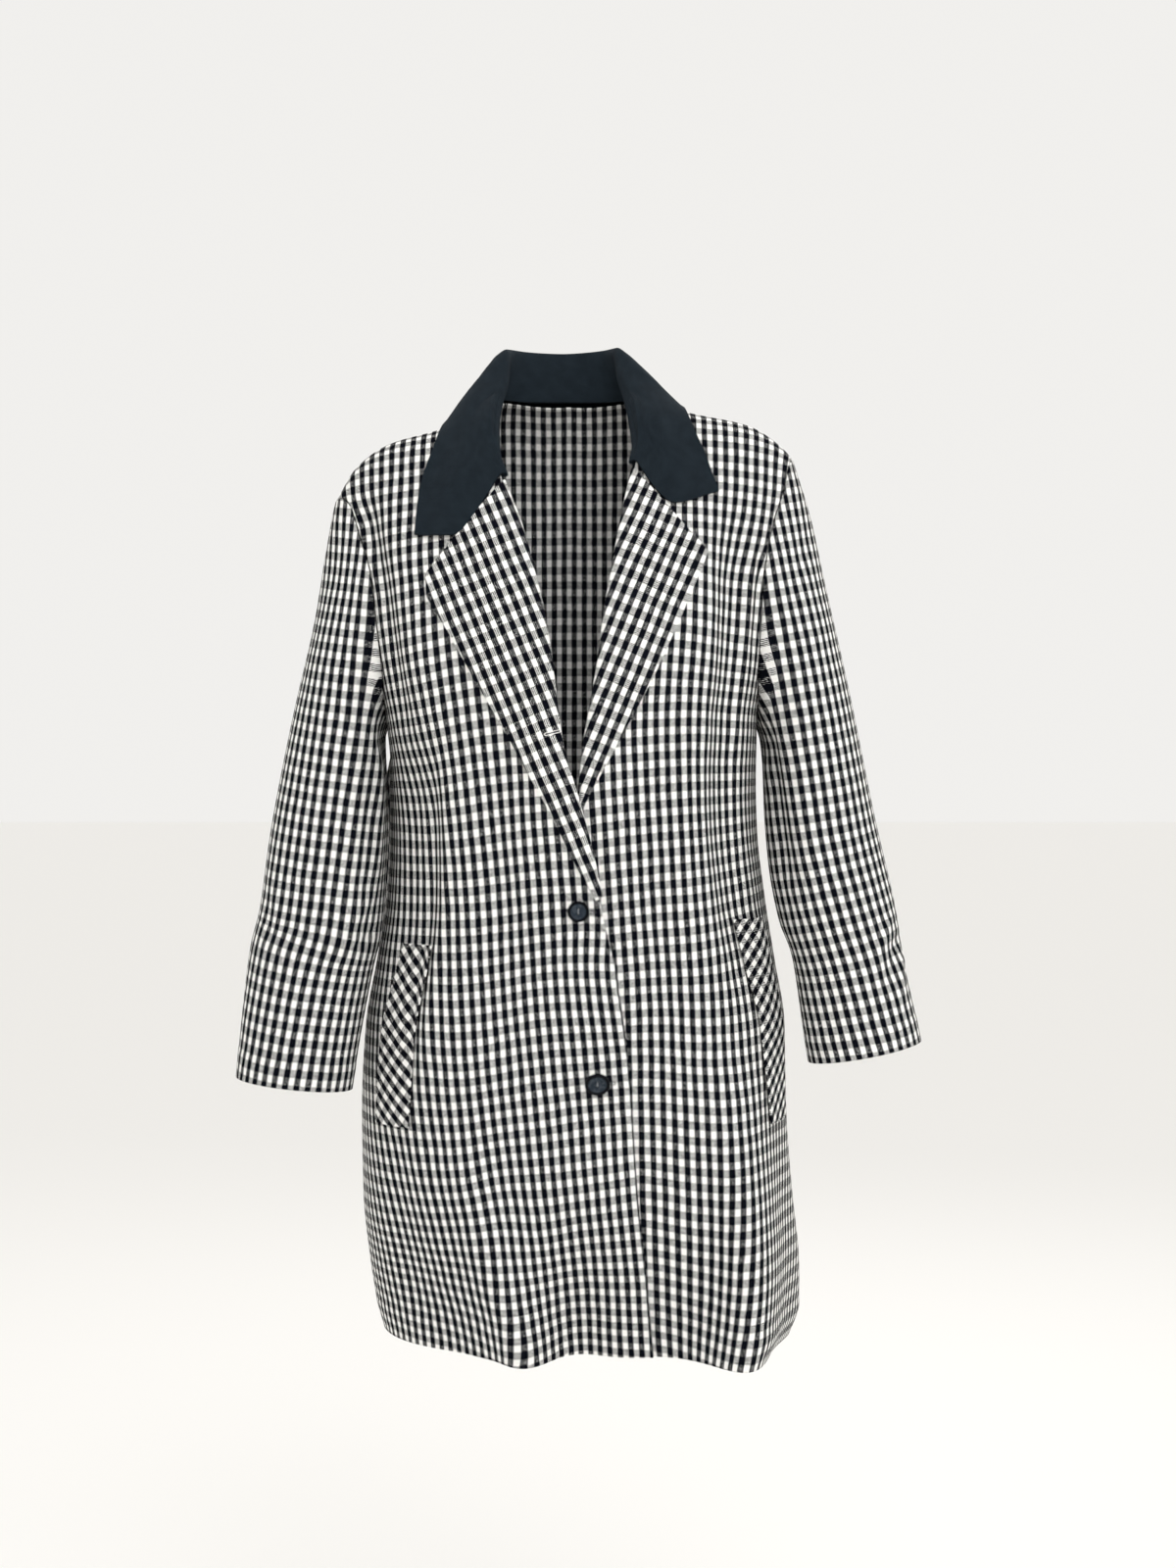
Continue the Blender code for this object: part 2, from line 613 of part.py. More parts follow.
# Sections of the collar, from the right front end round the back of the neck to the left front end: the foot
# of the stand, the fold, the middle of the fall, and the outer edge as x and a level of the body, with the
# levels behind the shoulder ridge negative.
COLLAR = table(
    "foot_x foot_y  foot_z  fold_x  fold_y  fold_z  mid_x  mid_y  mid_z  edge_x  edge_level",
    (-0.0610, -0.0670, -0.0715, -0.0587, -0.0735, -0.0680, -0.1035, -0.0915, -0.1265, -0.1367, 0.1168),
    (-0.0640, -0.0560, -0.0490, -0.0658, -0.0640, -0.0434, -0.1020, -0.0760, -0.0830, -0.1344, 0.0835),
    (-0.0700, -0.0405, -0.0190, -0.0674, -0.0450, -0.0181, -0.0992, -0.0640, -0.0540, -0.1306, 0.0575),
    (-0.0715, -0.0240, 0.0000, -0.0657, -0.0220, 0.0080, -0.0967, -0.0440, -0.0210, -0.1220, 0.0300),
    (-0.0720, -0.0030, 0.0115, -0.0605, -0.0020, 0.0340, -0.0960, -0.0180, 0.0100, -0.1145, 0.0036),
    (-0.0650, 0.0190, 0.0150, -0.0598, 0.0200, 0.0620, -0.0890, 0.0150, 0.0260, -0.1120, -0.0090),
    (-0.0440, 0.0340, 0.0150, -0.0460, 0.0460, 0.0650, -0.0720, 0.0620, 0.0280, -0.0950, -0.0215),
    (-0.0030, 0.0430, 0.0160, -0.0060, 0.0590, 0.0650, -0.0060, 0.0820, 0.0300, -0.0060, -0.0410),
    (0.0400, 0.0350, 0.0150, 0.0350, 0.0460, 0.0660, 0.0620, 0.0620, 0.0320, 0.0860, -0.0225),
    (0.0640, 0.0190, 0.0150, 0.0468, 0.0200, 0.0637, 0.0810, 0.0130, 0.0310, 0.1025, -0.0080),
    (0.0715, 0.0000, 0.0115, 0.0493, 0.0000, 0.0394, 0.0875, -0.0170, 0.0130, 0.1085, 0.0090),
    (0.0705, -0.0200, 0.0020, 0.0554, -0.0180, 0.0136, 0.0874, -0.0460, -0.0137, 0.1155, 0.0280),
    (0.0680, -0.0370, -0.0150, 0.0598, -0.0360, -0.0108, 0.0912, -0.0620, -0.0400, 0.1242, 0.0480),
    (0.0625, -0.0510, -0.0370, 0.0631, -0.0560, -0.0348, 0.0942, -0.0720, -0.0650, 0.1298, 0.0650),
    (0.0620, -0.0605, -0.0590, 0.0600, -0.0680, -0.0555, 0.0968, -0.0815, -0.0960, 0.1356, 0.0806),
)
COLLAR_LIFT = 0.0036  # from the middle of the body's cloth to that of the collar's outer edge
FOLD_DROP = 0.006  # the fold's round top: how far down, in and out its sides begin
FOLD_IN = 0.0036
FOLD_OUT = (0.0042, 0.0090)  # at the collar's ends and elsewhere
FALL_FROM = 2.5  # where the fall begins on the lines across the collar
COLLAR_ACROSS = (0.0, 0.5, 1.0, 1.5, 2.0, 2.5, 3.0, 3.5, 4.0, 4.5, 5.0)


FALL_LEVELS = (0.0002, 0.16)  # the levels between which the fall lies on the body
FALL_TURN = 58.0  # and how far round it, in degrees
EDGE_LEANS_FROM = (0, 0.01, -0.10)  # the point that the collar's edge is moved away from
FOLD_AT_ENDS = 0.3  # how much of the fold's drop is left at the collar's ends


def cloud():
    """Points and outward normals all over the cloth that the collar's fall lies on."""
    points, normals = [], []
    for face in (FRONT, BACK):
        for down in np.linspace(*FALL_LEVELS, FINE):
            for side in (RIGHT, LEFT):
                inner = float(edge_x(side, down)) if face == FRONT else 0.0
                turn = np.linspace(float(turn_at(inner, down)), side * FALL_TURN, FINE)
                x = body(face, turn, np.full_like(turn, down))[:, 0]
                dip = 0 if face == FRONT else BACK_NECK_DIP * np.clip(1 - (x / NECK_HALF) ** 2, 0, 1)
                level = np.maximum(down, dip)
                along = body(face, turn, level + STEP_UP) - body(face, turn, level - STEP_UP)
                across = body(face, turn + STEP_ROUND, level) - body(face, turn - STEP_ROUND, level)
                points.append(body(face, turn, level))
                normals.append(unit(np.cross(along, across)) * -face)
    return np.concatenate(points), np.concatenate(normals)


def pushed_clear(points, clear):
    """Points moved out to at least this distance from the cloth of the body."""
    near, normals = cloud()
    flat = points.reshape(-1, 3).copy()
    clear = np.broadcast_to(clear, points.shape[:-1]).reshape(-1)
    for _ in range(2):
        for i, point in enumerate(flat):
            nearest = np.argmin(np.sum((near - point) ** 2, axis=1))
            height = np.dot(point - near[nearest], normals[nearest])
            flat[i] = point + normals[nearest] * max(0.0, clear[i] - height)
    return flat.reshape(points.shape)


def collar(material):
    """One wall: up the stand, over the fold and down the fall."""
    stations = np.arange(len(COLLAR["fold_x"]), dtype=float)
    fine = np.linspace(0, stations[-1], 20 * COLLAR_COLUMNS)
    level = smooth(fine, stations, COLLAR["edge_level"])
    edge = body(FRONT, turn_at(smooth(fine, stations, COLLAR["edge_x"]), np.abs(level)), np.abs(level))
    edge[:, 1] *= np.where(level < 0, -1, 1)
    length = np.r_[0, np.cumsum(np.linalg.norm(np.diff(edge, axis=0), axis=1))]
    at = np.interp(np.linspace(0, length[-1], COLLAR_COLUMNS), length, fine)
    run = {column: smooth(at, stations, values) for column, values in COLLAR.items()}
    foot = np.stack([run["foot_x"], run["foot_y"], run["foot_z"]], axis=-1)
    fold = np.stack([run["fold_x"], run["fold_y"], run["fold_z"]], axis=-1)
    mid = np.stack([run["mid_x"], run["mid_y"], run["mid_z"]], axis=-1)
    level = np.abs(run["edge_level"])
    turn = turn_at(run["edge_x"], level)
    before = run["edge_level"][:, None] > 0
    edge = np.where(before, body(FRONT, turn, level), body(BACK, turn, level))
    edge = edge + unit(edge - EDGE_LEANS_FROM) * COLLAR_LIFT
    out = unit((mid - foot) * [1, 1, 0])
    from_end = np.minimum(at, stations[-1] - at)
    down = np.outer(FOLD_DROP * (FOLD_AT_ENDS + (1 - FOLD_AT_ENDS) * ease(from_end)), [0, 0, 1])
    fall_out = np.interp(from_end, (0.0, 2.0), FOLD_OUT)[:, None]
    inside, outside = fold - out * FOLD_IN - down, fold + out * fall_out - down
    lines = np.stack([foot, inside, fold, outside, mid, edge])
    keys = np.arange(6.0)
    across = np.array(COLLAR_ACROSS)
    grid = np.empty((len(across), len(at), 3))
    for column in range(len(at)):
        for axis in range(3):
            grid[:, column, axis] = smooth(across, keys, lines[:, column, axis])
    fall = across >= FALL_FROM
    grid[fall] = pushed_clear(grid[fall], COLLAR_LIFT)
    return wall("collar", grid, normals_of(grid), COLLAR_CLOTH, material)


# The pocket welts: the level of each end and the angle of the welt's front edge there.
RIGHT_WELT = table("down turn", (0.500, -39.5), (0.664, -42.5))
LEFT_WELT = table("down turn", (0.478, 50.0), (0.664, 60.0))
WELT_WIDTH = 0.047
WELT_LIFT = 0.0036


def welt(name, side, ends, check):
    """A strip laid on a front, from its front edge round towards the side seam."""
    rows = []
    for down in np.linspace(ends["down"][0], ends["down"][-1], WELT_ROWS):
        first = float(np.interp(down, ends["down"], ends["turn"]))
        fine = np.linspace(first, side * WELT_ENDS, FINE)
        line = front(side, fine, np.full_like(fine, down))
        run = np.r_[0, np.cumsum(np.linalg.norm(np.diff(line, axis=0), axis=1))]
        turns = np.interp(np.linspace(0, WELT_WIDTH, WELT_COLUMNS), run, fine)
        rows.append(lifted(side, turns, np.full_like(turns, down), np.full_like(turns, WELT_LIFT)))
    grid = np.array(rows)
    return wall(name, grid, normals_of(grid), LAPEL_CLOTH, check)


# Lean is how far the face is tipped down on its thread, in degrees, and lift is how far the button's back is
# from the middle of the cloth.
BUTTONS = table(
    "x       height   radius  lean  lift",
    (0.0099, -0.4656, 0.0095, 4.0, 0.0028),
    (0.0265, -0.6180, 0.0112, 32.0, 0.0079),
)
BUTTON_SIDES = 28
HOLE_SIDES = 10
HOLE_RADIUS = 0.0012
HOLE_FROM_MIDDLE = 0.0023
# The turned outline of a button, as shares of its radius and its thickness.
BUTTON_OUTLINE = ((0, 0), (0.80, 0), (1, 0.30), (1, 0.72), (0.93, 0.97), (0.84, 1), (0.70, 0.66), (0, 0.58))


def button(name, x, height, radius, lean, lift, material):
    """A turned button with a rim, a dished middle and two holes, on a short shank of thread that lets it droop."""
    down = float(down_at(x, height))
    turn = float(turn_at(x, down))
    seat = lifted(RIGHT, turn, down, lift)
    ahead = Vector(seat - front(RIGHT, turn, down)).normalized()
    facing = Matrix.Rotation(math.radians(lean), 4, "X") @ ahead.to_track_quat("Z", "X").to_matrix().to_4x4()
    place = Matrix.Translation(Vector(seat)) @ facing

    mesh = bmesh.new()
    verts = [mesh.verts.new((r * radius, 0, h * BUTTON_THICK)) for r, h in BUTTON_OUTLINE]
    edges = [mesh.edges.new(pair) for pair in zip(verts, verts[1:])]
    bmesh.ops.spin(
        mesh,
        geom=verts + edges,
        cent=(0, 0, 0),
        axis=(0, 0, 1),
        angle=math.tau,
        steps=BUTTON_SIDES,
        use_merge=True,
    )
    bmesh.ops.remove_doubles(mesh, verts=mesh.verts[:], dist=1e-6)
    bmesh.ops.recalc_face_normals(mesh, faces=mesh.faces[:])
    piece = add(name, mesh, material)
    piece.matrix_world = place

    holes = bmesh.new()
    for way in (-1, 1):
        bmesh.ops.create_cone(
            holes,
            cap_ends=True,
            segments=HOLE_SIDES,
            radius1=HOLE_RADIUS,
            radius2=HOLE_RADIUS,
            depth=4 * BUTTON_THICK,
            matrix=Matrix.Translation((way * HOLE_FROM_MIDDLE, 0, 0)),
        )
    drill = add(name + "_holes", holes, material)
    drill.matrix_world = place
    drill.hide_render = True
    drill.display_type = "WIRE"
    cut = piece.modifiers.new("Holes", "BOOLEAN")
    cut.operation = "DIFFERENCE"
    cut.object = drill
    return piece


def clear_scene():
    for item in list(bpy.data.objects):
        bpy.data.objects.remove(item, do_unlink=True)


def build():
    clear_scene()
    check = finish("check_cloth", (0.36, 0.36, 0.35), 0.9)
    twill = finish("navy_twill", (0.018, 0.030, 0.042), 0.8)
    slate = finish("slate_button", (0.030, 0.042, 0.062), 0.3)
    right, left, back = body_panels(check)
    loop, angles = armhole_loop(RIGHT, right, back)
    sleeve("sleeve_right", RIGHT, RIGHT_SLEEVE, RIGHT_SLEEVE_FOLDS, loop, angles, check)
    loop, angles = armhole_loop(LEFT, left, back)
    sleeve("sleeve_left", LEFT, LEFT_SLEEVE, LEFT_SLEEVE_FOLDS, loop, angles, check)
    collar(twill)
    lapel("lapel_right", RIGHT, RIGHT_LAPEL_EDGE, RIGHT_ROLL, check)
    lapel("lapel_left", LEFT, LEFT_LAPEL_EDGE, LEFT_ROLL, check)
    welt("pocket_welt_right", RIGHT, RIGHT_WELT, check)
    welt("pocket_welt_left", LEFT, LEFT_WELT, check)
    for name, *sizes in zip(("button_upper", "button_lower"), *BUTTONS.values()):
        button(name, *sizes, slate)


build()
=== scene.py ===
# %% [markdown]
# # A checked coat, cut and draped in code
#
# The coat is single-breasted, with a dark twill collar, notched lapels, slanting pocket welts and two buttons.
# It hangs as it is worn, so its cloth is a thin shell in the shape of a body that isn't there.
#
# A coat like this could be sculpted, simulated from flat panels, or worked out from measured sections. The last
# is used here, because every piece then starts from the same few tables and meets its neighbour on the seam.
#
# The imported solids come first. They are the frame that every new piece has to fit.

# %% Load the frame
import math

import bmesh
import bpy
import numpy as np
from mathutils import Matrix, Vector


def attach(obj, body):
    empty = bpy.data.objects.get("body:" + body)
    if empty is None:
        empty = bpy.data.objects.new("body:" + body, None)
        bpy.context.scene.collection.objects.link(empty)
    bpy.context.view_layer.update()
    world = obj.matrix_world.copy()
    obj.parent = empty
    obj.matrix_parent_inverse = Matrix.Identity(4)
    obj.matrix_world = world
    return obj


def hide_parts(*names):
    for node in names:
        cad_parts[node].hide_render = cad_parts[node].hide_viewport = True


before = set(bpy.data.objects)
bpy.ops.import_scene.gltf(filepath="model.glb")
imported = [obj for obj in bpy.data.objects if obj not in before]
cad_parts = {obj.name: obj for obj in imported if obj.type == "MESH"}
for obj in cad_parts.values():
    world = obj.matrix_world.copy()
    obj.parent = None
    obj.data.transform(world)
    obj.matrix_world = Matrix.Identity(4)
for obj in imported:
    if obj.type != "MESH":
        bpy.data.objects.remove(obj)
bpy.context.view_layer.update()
print("solids:", ", ".join(sorted(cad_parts)))

# %% [markdown]
# ## Where the photographer stood
#
# The stripes on the sleeves look about six per cent smaller than those on the front. That puts the camera a
# little over two metres away, level with the chest, and the lens follows from the coat's size in the picture.

# %% Camera
CAMERA_PLACE = (0.0186, -2.150, -0.353)
PICTURE = (1200, 1600)  # pixels across and down
FOCAL_PIXELS = 2312
SENSOR = 36.0  # mm along the picture's longer side

eye = bpy.data.cameras.new("eye")
eye.sensor_width = SENSOR
eye.lens = FOCAL_PIXELS * SENSOR / max(PICTURE)
camera = bpy.data.objects.new("camera", eye)
camera.location = CAMERA_PLACE
camera.rotation_euler = (math.radians(90), 0, 0)
bpy.context.scene.collection.objects.link(camera)
bpy.context.scene.camera = camera
print(f"lens {eye.lens:.1f} mm")

# %% [markdown]
# ## Floor and light
#
# The room in the picture is pale, and its light is soft and comes mostly from the front. A wide floor, a pale
# sky and three large area lights give that from every side, with no wall for another view to run into.

# %% Floor
FLOOR = -1.40  # where the wearer's feet would stand
FLOOR_HALF = 60.0

ground = bmesh.new()
bmesh.ops.create_grid(ground, x_segments=1, y_segments=1, size=FLOOR_HALF)
bmesh.ops.translate(ground, verts=ground.verts[:], vec=(0, 0, FLOOR))
floor_mesh = bpy.data.meshes.new("floor")
ground.to_mesh(floor_mesh)
ground.free()
floor = bpy.data.objects.new("floor", floor_mesh)
bpy.context.scene.collection.objects.link(floor)

paint = bpy.data.materials.new("floor_paint")
paint.use_nodes = True
paint.node_tree.nodes["Principled BSDF"].inputs["Base Color"].default_value = (0.80, 0.79, 0.77, 1)
paint.node_tree.nodes["Principled BSDF"].inputs["Roughness"].default_value = 0.9
paint.node_tree.nodes["Principled BSDF"].inputs["Emission Color"].default_value = (0.80, 0.79, 0.77, 1)
paint.node_tree.nodes["Principled BSDF"].inputs["Emission Strength"].default_value = 0.17  # as far floors look
floor_mesh.materials.append(paint)
print("floor at", FLOOR)

# %% Sky and lamps
SKY = (0.86, 0.85, 0.83, 1)
SKY_STRENGTH = 1.02
# name, place, what it points at, size, watts
LAMPS = (
    ("key", (0.5, -1.9, 1.3), (0, 0, -0.20), 1.2, 24.0),
    ("fill", (1.9, -1.6, 0.2), (0, 0, -0.35), 1.6, 5.0),
    ("rim", (0.4, 2.4, 1.4), (0, 0, -0.30), 1.6, 20.0),
)

world = bpy.data.worlds.new("sky")
world.use_nodes = True
world.node_tree.nodes["Background"].inputs["Color"].default_value = SKY
world.node_tree.nodes["Background"].inputs["Strength"].default_value = SKY_STRENGTH
bpy.context.scene.world = world
bpy.context.scene.view_settings.view_transform = "Standard"
for name, place, target, size, watts in LAMPS:
    lamp = bpy.data.lights.new(name, "AREA")
    lamp.size = size
    lamp.energy = watts
    holder = bpy.data.objects.new(name, lamp)
    holder.location = place
    holder.rotation_euler = (Vector(target) - Vector(place)).to_track_quat("-Z", "Y").to_euler()
    bpy.context.scene.collection.objects.link(holder)
print(len(LAMPS), "lamps")

# %% [markdown]
# ## Tables that hold the drape
#
# A coat is easier to change when its shape is in short tables: one row for each level of the body, each
# stretch of armhole and each fold. A curve that never overshoots its knots reads them in between.

# %% Reading tables
FRONT, BACK = -1, 1  # the side of the body that a point lies on
RIGHT, LEFT = -1, 1  # the wearer's side


def table(names, *rows):
    """Columns of numbers by name, from rows that are written out one for each section or fold."""
    return dict(zip(names.split(), np.array(rows, float).T))


def smooth(at, knots, values):
    """Reads values between their knots on a cubic curve that never overshoots them."""
    at = np.clip(np.asarray(at, float), knots[0], knots[-1])
    spans = np.diff(knots)
    rises = np.diff(values) / spans
    slopes = np.empty(len(knots))
    slopes[0], slopes[-1] = rises[0], rises[-1]
    turning = rises[:-1] * rises[1:] <= 0
    with np.errstate(divide="ignore", invalid="ignore"):
        mean = 3 * (spans[:-1] + spans[1:]) / (
            (2 * spans[1:] + spans[:-1]) / rises[:-1] + (spans[1:] + 2 * spans[:-1]) / rises[1:]
        )
    slopes[1:-1] = np.where(turning, 0.0, mean)
    i = np.clip(np.searchsorted(knots, at, side="right") - 1, 0, len(spans) - 1)
    t = (at - knots[i]) / spans[i]
    start = (1 + 2 * t) * (1 - t) ** 2 * values[i] + t * (1 - t) ** 2 * spans[i] * slopes[i]
    end = t**2 * (3 - 2 * t) * values[i + 1] + t**2 * (t - 1) * spans[i] * slopes[i + 1]
    return start + end


def read(which, column, at):
    """One column of a table, read at values of its first column."""
    keys = next(iter(which.values()))
    if keys[0] > keys[-1]:
        return smooth(at, keys[::-1], which[column][::-1])
    return smooth(at, keys, which[column])


def ease(t):
    """0 to 1 with level ends."""
    t = np.clip(t, 0, 1)
    return t * t * (3 - 2 * t)


def unit(vectors):
    return vectors / np.maximum(np.linalg.norm(vectors, axis=-1, keepdims=True), 1e-12)


print("a curve through 0, 1, 4:", smooth([0.5, 1.5], np.array([0.0, 1, 2]), np.array([0.0, 1, 4])).round(2))

# %% Sizes of the coat
CLOTH = 0.0020  # thickness of the check cloth
COLLAR_CLOTH = 0.0024  # the collar's two layers of twill, pressed
LAPEL_CLOTH = 0.0016  # the facing that shows on a turned-back lapel
SEAM_GAP = 0.0003  # between two pieces that are sewn together
ARMPIT = 0.300  # depth of the armhole below the shoulder ridge
HEM = 0.872  # shoulder ridge to hem
NECK_HALF = 0.075
BACK_NECK_DIP = 0.012

# Level sections of the body, down from the shoulder ridge: depths (y) of the middle front, middle back and side
# seams, half widths to the right and left, and how square the section is.
BODY = table(
    "down   front   back   side  right  left   square",
    (0.000, 0.000, 0.000, 0.000, 0.240, 0.232, 2.4),
    (0.003, -0.016, 0.024, 0.000, 0.238, 0.230, 2.4),
    (0.012, -0.034, 0.047, 0.000, 0.235, 0.227, 2.4),
    (0.030, -0.050, 0.066, 0.002, 0.230, 0.222, 2.4),
    (0.060, -0.064, 0.083, 0.004, 0.222, 0.216, 2.4),
    (0.100, -0.084, 0.096, 0.006, 0.211, 0.207, 2.4),
    (0.150, -0.106, 0.106, 0.008, 0.200, 0.199, 2.4),
    (0.200, -0.122, 0.111, 0.010, 0.190, 0.191, 2.5),
    (0.250, -0.131, 0.112, 0.012, 0.180, 0.184, 2.6),
    (0.300, -0.136, 0.110, 0.018, 0.171, 0.178, 2.5),
    (0.340, -0.138, 0.106, 0.026, 0.1685, 0.178, 2.3),
    (0.400, -0.137, 0.101, 0.034, 0.1690, 0.180, 2.2),
    (0.460, -0.132, 0.102, 0.033, 0.1725, 0.187, 2.2),
    (0.520, -0.131, 0.109, 0.027, 0.1820, 0.196, 2.3),
    (0.580, -0.133, 0.117, 0.024, 0.192, 0.205, 2.4),
    (0.660, -0.136, 0.125, 0.027, 0.196, 0.206, 2.4),
    (0.740, -0.132, 0.129, 0.031, 0.195, 0.210, 2.4),
    (0.800, -0.118, 0.130, 0.037, 0.190, 0.214, 2.3),
    (0.845, -0.104, 0.130, 0.043, 0.184, 0.212, 2.2),
    (0.872, -0.097, 0.129, 0.046, 0.177, 0.201, 2.2),
)
# Height of the shoulder ridge, by the distance out from the middle.
SHOULDER = table(
    "out    right    left",
    (0.000, 0.026, 0.026),
    (0.050, 0.020, 0.020),
    (0.075, 0.010, 0.010),
    (0.100, -0.008, 0.002),
    (0.120, -0.017, -0.003),
    (0.170, -0.032, -0.014),
    (0.200, -0.054, -0.033),
    (0.218, -0.084, -0.054),
    (0.240, -0.120, -0.085),
)
# The armhole, as the angle round the body at which the fronts and the back end.
ARMHOLE = table(
    "down   right  left",
    (0.000, 64.5, 63.5),
    (0.050, 63.0, 66.0),
    (0.100, 64.5, 64.5),
    (0.150, 63.0, 63.5),
    (0.200, 65.5, 66.0),
    (0.250, 69.0, 70.0),
    (0.276, 75.5, 76.0),
    (0.292, 83.0, 83.5),
    (0.300, 90.0, 90.0),
)
# The inner edge of each front, as x at a height: neckline, roll line, then front edge.
EDGES = table(
    "height  right    left",
    (0.010, -0.0750, 0.0750),
    (-0.020, -0.0735, 0.0720),
    (-0.050, -0.0675, 0.0645),
    (-0.070, -0.0615, 0.0595),
    (-0.120, -0.0430, 0.0490),
    (-0.160, -0.0320, 0.0420),
    (-0.200, -0.0226, 0.0348),
    (-0.240, -0.0158, 0.0297),
    (-0.280, -0.0110, 0.0232),
    (-0.320, -0.0050, 0.0162),
    (-0.370, 0.0090, 0.0107),
    (-0.420, 0.0220, 0.0020),
    (-0.466, 0.0308, -0.0111),
    (-0.520, 0.0430, -0.0060),
    (-0.600, 0.0545, 0.0000),
    (-0.720, 0.0630, 0.0080),
    (-0.800, 0.0715, 0.0140),
    (-0.880, 0.0785, 0.0185),
)
print(len(BODY["down"]), "levels of the body")

# %% [markdown]
# ## Folds
#
# Cloth that hangs from the shoulders falls in a few long folds that open towards the hem, and in many smaller
# creases where an arm or a button pulls it. Both kinds are rows of one table here: where a fold starts and
# ends, how wide it is in degrees round the body, and how high, with a trough below zero. The back isn't in the
# picture, so its folds are like those in front.

# %% Folds of the body
FOLDS = table(
    "top    bottom  from_turn to_turn  wide  first  last",
    (0.040, 0.340, -44.0, -43.0, 7.0, 0.006, 0.004),
    (0.040, 0.330, -57.0, -55.0, 6.0, -0.009, -0.007),
    (0.300, 0.660, -33.0, -30.0, 8.0, 0.006, 0.004),
    (0.300, 0.640, -52.0, -50.0, 9.0, -0.008, -0.005),
    (0.060, 0.620, 31.0, 39.0, 8.0, 0.008, 0.006),
    (0.060, 0.600, 45.0, 53.0, 8.0, -0.013, -0.007),
    (0.640, 0.960, -33.0, -4.6, 11.0, 0.000, 0.070),
    (0.700, 0.960, 0.0, 2.0, 7.0, 0.000, -0.040),
    (0.560, 0.960, 46.0, 54.0, 19.0, 0.000, 0.145),
    (0.450, 0.960, -128.0, -132.0, 12.0, 0.002, 0.024),
    (0.310, 0.520, -98.0, -98.0, 7.0, 0.009, 0.009),
    (0.380, 0.960, 176.0, 170.0, 13.0, 0.004, 0.030),
    (0.480, 0.960, 135.0, 128.0, 12.0, 0.002, 0.026),
    (0.420, 0.960, -156.0, -152.0, 9.0, -0.002, -0.014),
    (0.420, 0.960, 152.0, 148.0, 10.0, -0.002, -0.014),
)
CREASES = table(
    "top    bottom  from_turn to_turn  wide  first  last",
    (0.070, 0.330, -50.0, -49.0, 3.0, 0.0040, 0.0030),
    (0.110, 0.300, -60.0, -57.0, 2.6, 0.0034, 0.0024),
    (0.320, 0.660, -38.5, -37.5, 2.5, 0.0046, 0.0030),
    (0.320, 0.660, -43.5, -42.5, 2.8, -0.0056, -0.0036),
    (0.340, 0.520, -24.0, -13.0, 4.5, -0.0006, -0.0036),
    (0.380, 0.500, -15.0, -6.0, 3.6, 0.0004, 0.0028),
    (0.520, 0.640, -20.0, -4.0, 4.2, -0.0016, -0.0034),
    (0.640, 0.900, -36.0, -16.0, 5.5, -0.0040, -0.0100),
    (0.650, 0.860, -50.0, -44.0, 7.0, -0.0030, -0.0060),
    (0.110, 0.580, 37.5, 44.0, 2.8, 0.0046, 0.0034),
    (0.130, 0.340, 55.0, 57.0, 3.2, 0.0042, 0.0030),
    (0.120, 0.250, 58.5, 62.0, 2.4, -0.0046, -0.0024),
    (0.420, 0.620, 22.0, 26.0, 5.0, -0.0022, -0.0036),
    (0.560, 0.860, 30.0, 36.0, 5.0, -0.0020, -0.0060),
    (0.360, 0.560, 63.0, 66.0, 4.0, 0.0016, 0.0020),
    (0.700, 0.900, 66.0, 72.0, 6.0, -0.0020, -0.0040),
    (0.100, 0.330, -120.0, -118.0, 5.0, -0.0026, -0.0018),
    (0.120, 0.360, -126.0, -127.0, 4.0, 0.0024, 0.0016),
    (0.090, 0.320, 121.0, 118.0, 4.6, -0.0028, -0.0018),
    (0.110, 0.350, 127.0, 126.0, 4.2, 0.0024, 0.0016),
    (0.300, 0.560, -140.0, -150.0, 6.0, 0.0018, -0.0024),
    (0.320, 0.600, 146.0, 158.0, 6.5, -0.0020, 0.0026),
    (0.250, 0.420, -170.0, -176.0, 5.0, -0.0016, -0.0020),
    (0.600, 0.860, -112.0, -108.0, 6.0, -0.0020, -0.0045),
    (0.620, 0.860, 106.0, 112.0, 5.4, 0.0020, -0.0040),
)


def folds(which, face, turn, down):
    """How far a table's folds push the cloth out."""
    ring = turn if face == FRONT else np.where(turn < 0, -180 - turn, 180 - turn)
    rise = np.zeros(np.broadcast(turn, down).shape)
    for top, bottom, start, end, wide, first, last in zip(*which.values()):
        along = (down - top) / (bottom - top)
        shape = (first + (last - first) * np.clip(along, 0, 1) ** 1.3) * ease(along / 0.2)
        if bottom < HEM:
            shape = shape * ease((1 - along) / 0.3)
        middle = start + (end - start) * along
        away = (ring - middle + 180) % 360 - 180
        rise = rise + shape * np.exp(-((away / wide) ** 2))
    return rise


print(len(FOLDS["top"]), "folds and", len(CREASES["top"]), "creases")

# %% [markdown]
# ## The surface that the panels are cut from
#
# The body is one closed surface, with a rounded, slightly squared section at each level. The fronts and the
# back are stretches of it, so their edges meet exactly. The right front lifts a little where it laps over.

# %% Points of the body
LAP_LIFT = table(
    "down   lift",
    (0.280, 0.0000),
    (0.345, 0.0075),
    (0.380, 0.0095),
    (0.460, 0.0080),
    (0.530, 0.0050),
    (0.880, 0.0045),
)


def by_side(which, at, x):
    """The right or the left column of a table, by the sign of x."""
    return np.where(np.asarray(x) < 0, read(which, "right", at), read(which, "left", at))


def ridge_share(down):
    """How much of the shoulders' slope is still in a level this far down."""
    return (1 - np.clip(down / ARMPIT, 0, 1)) ** 2


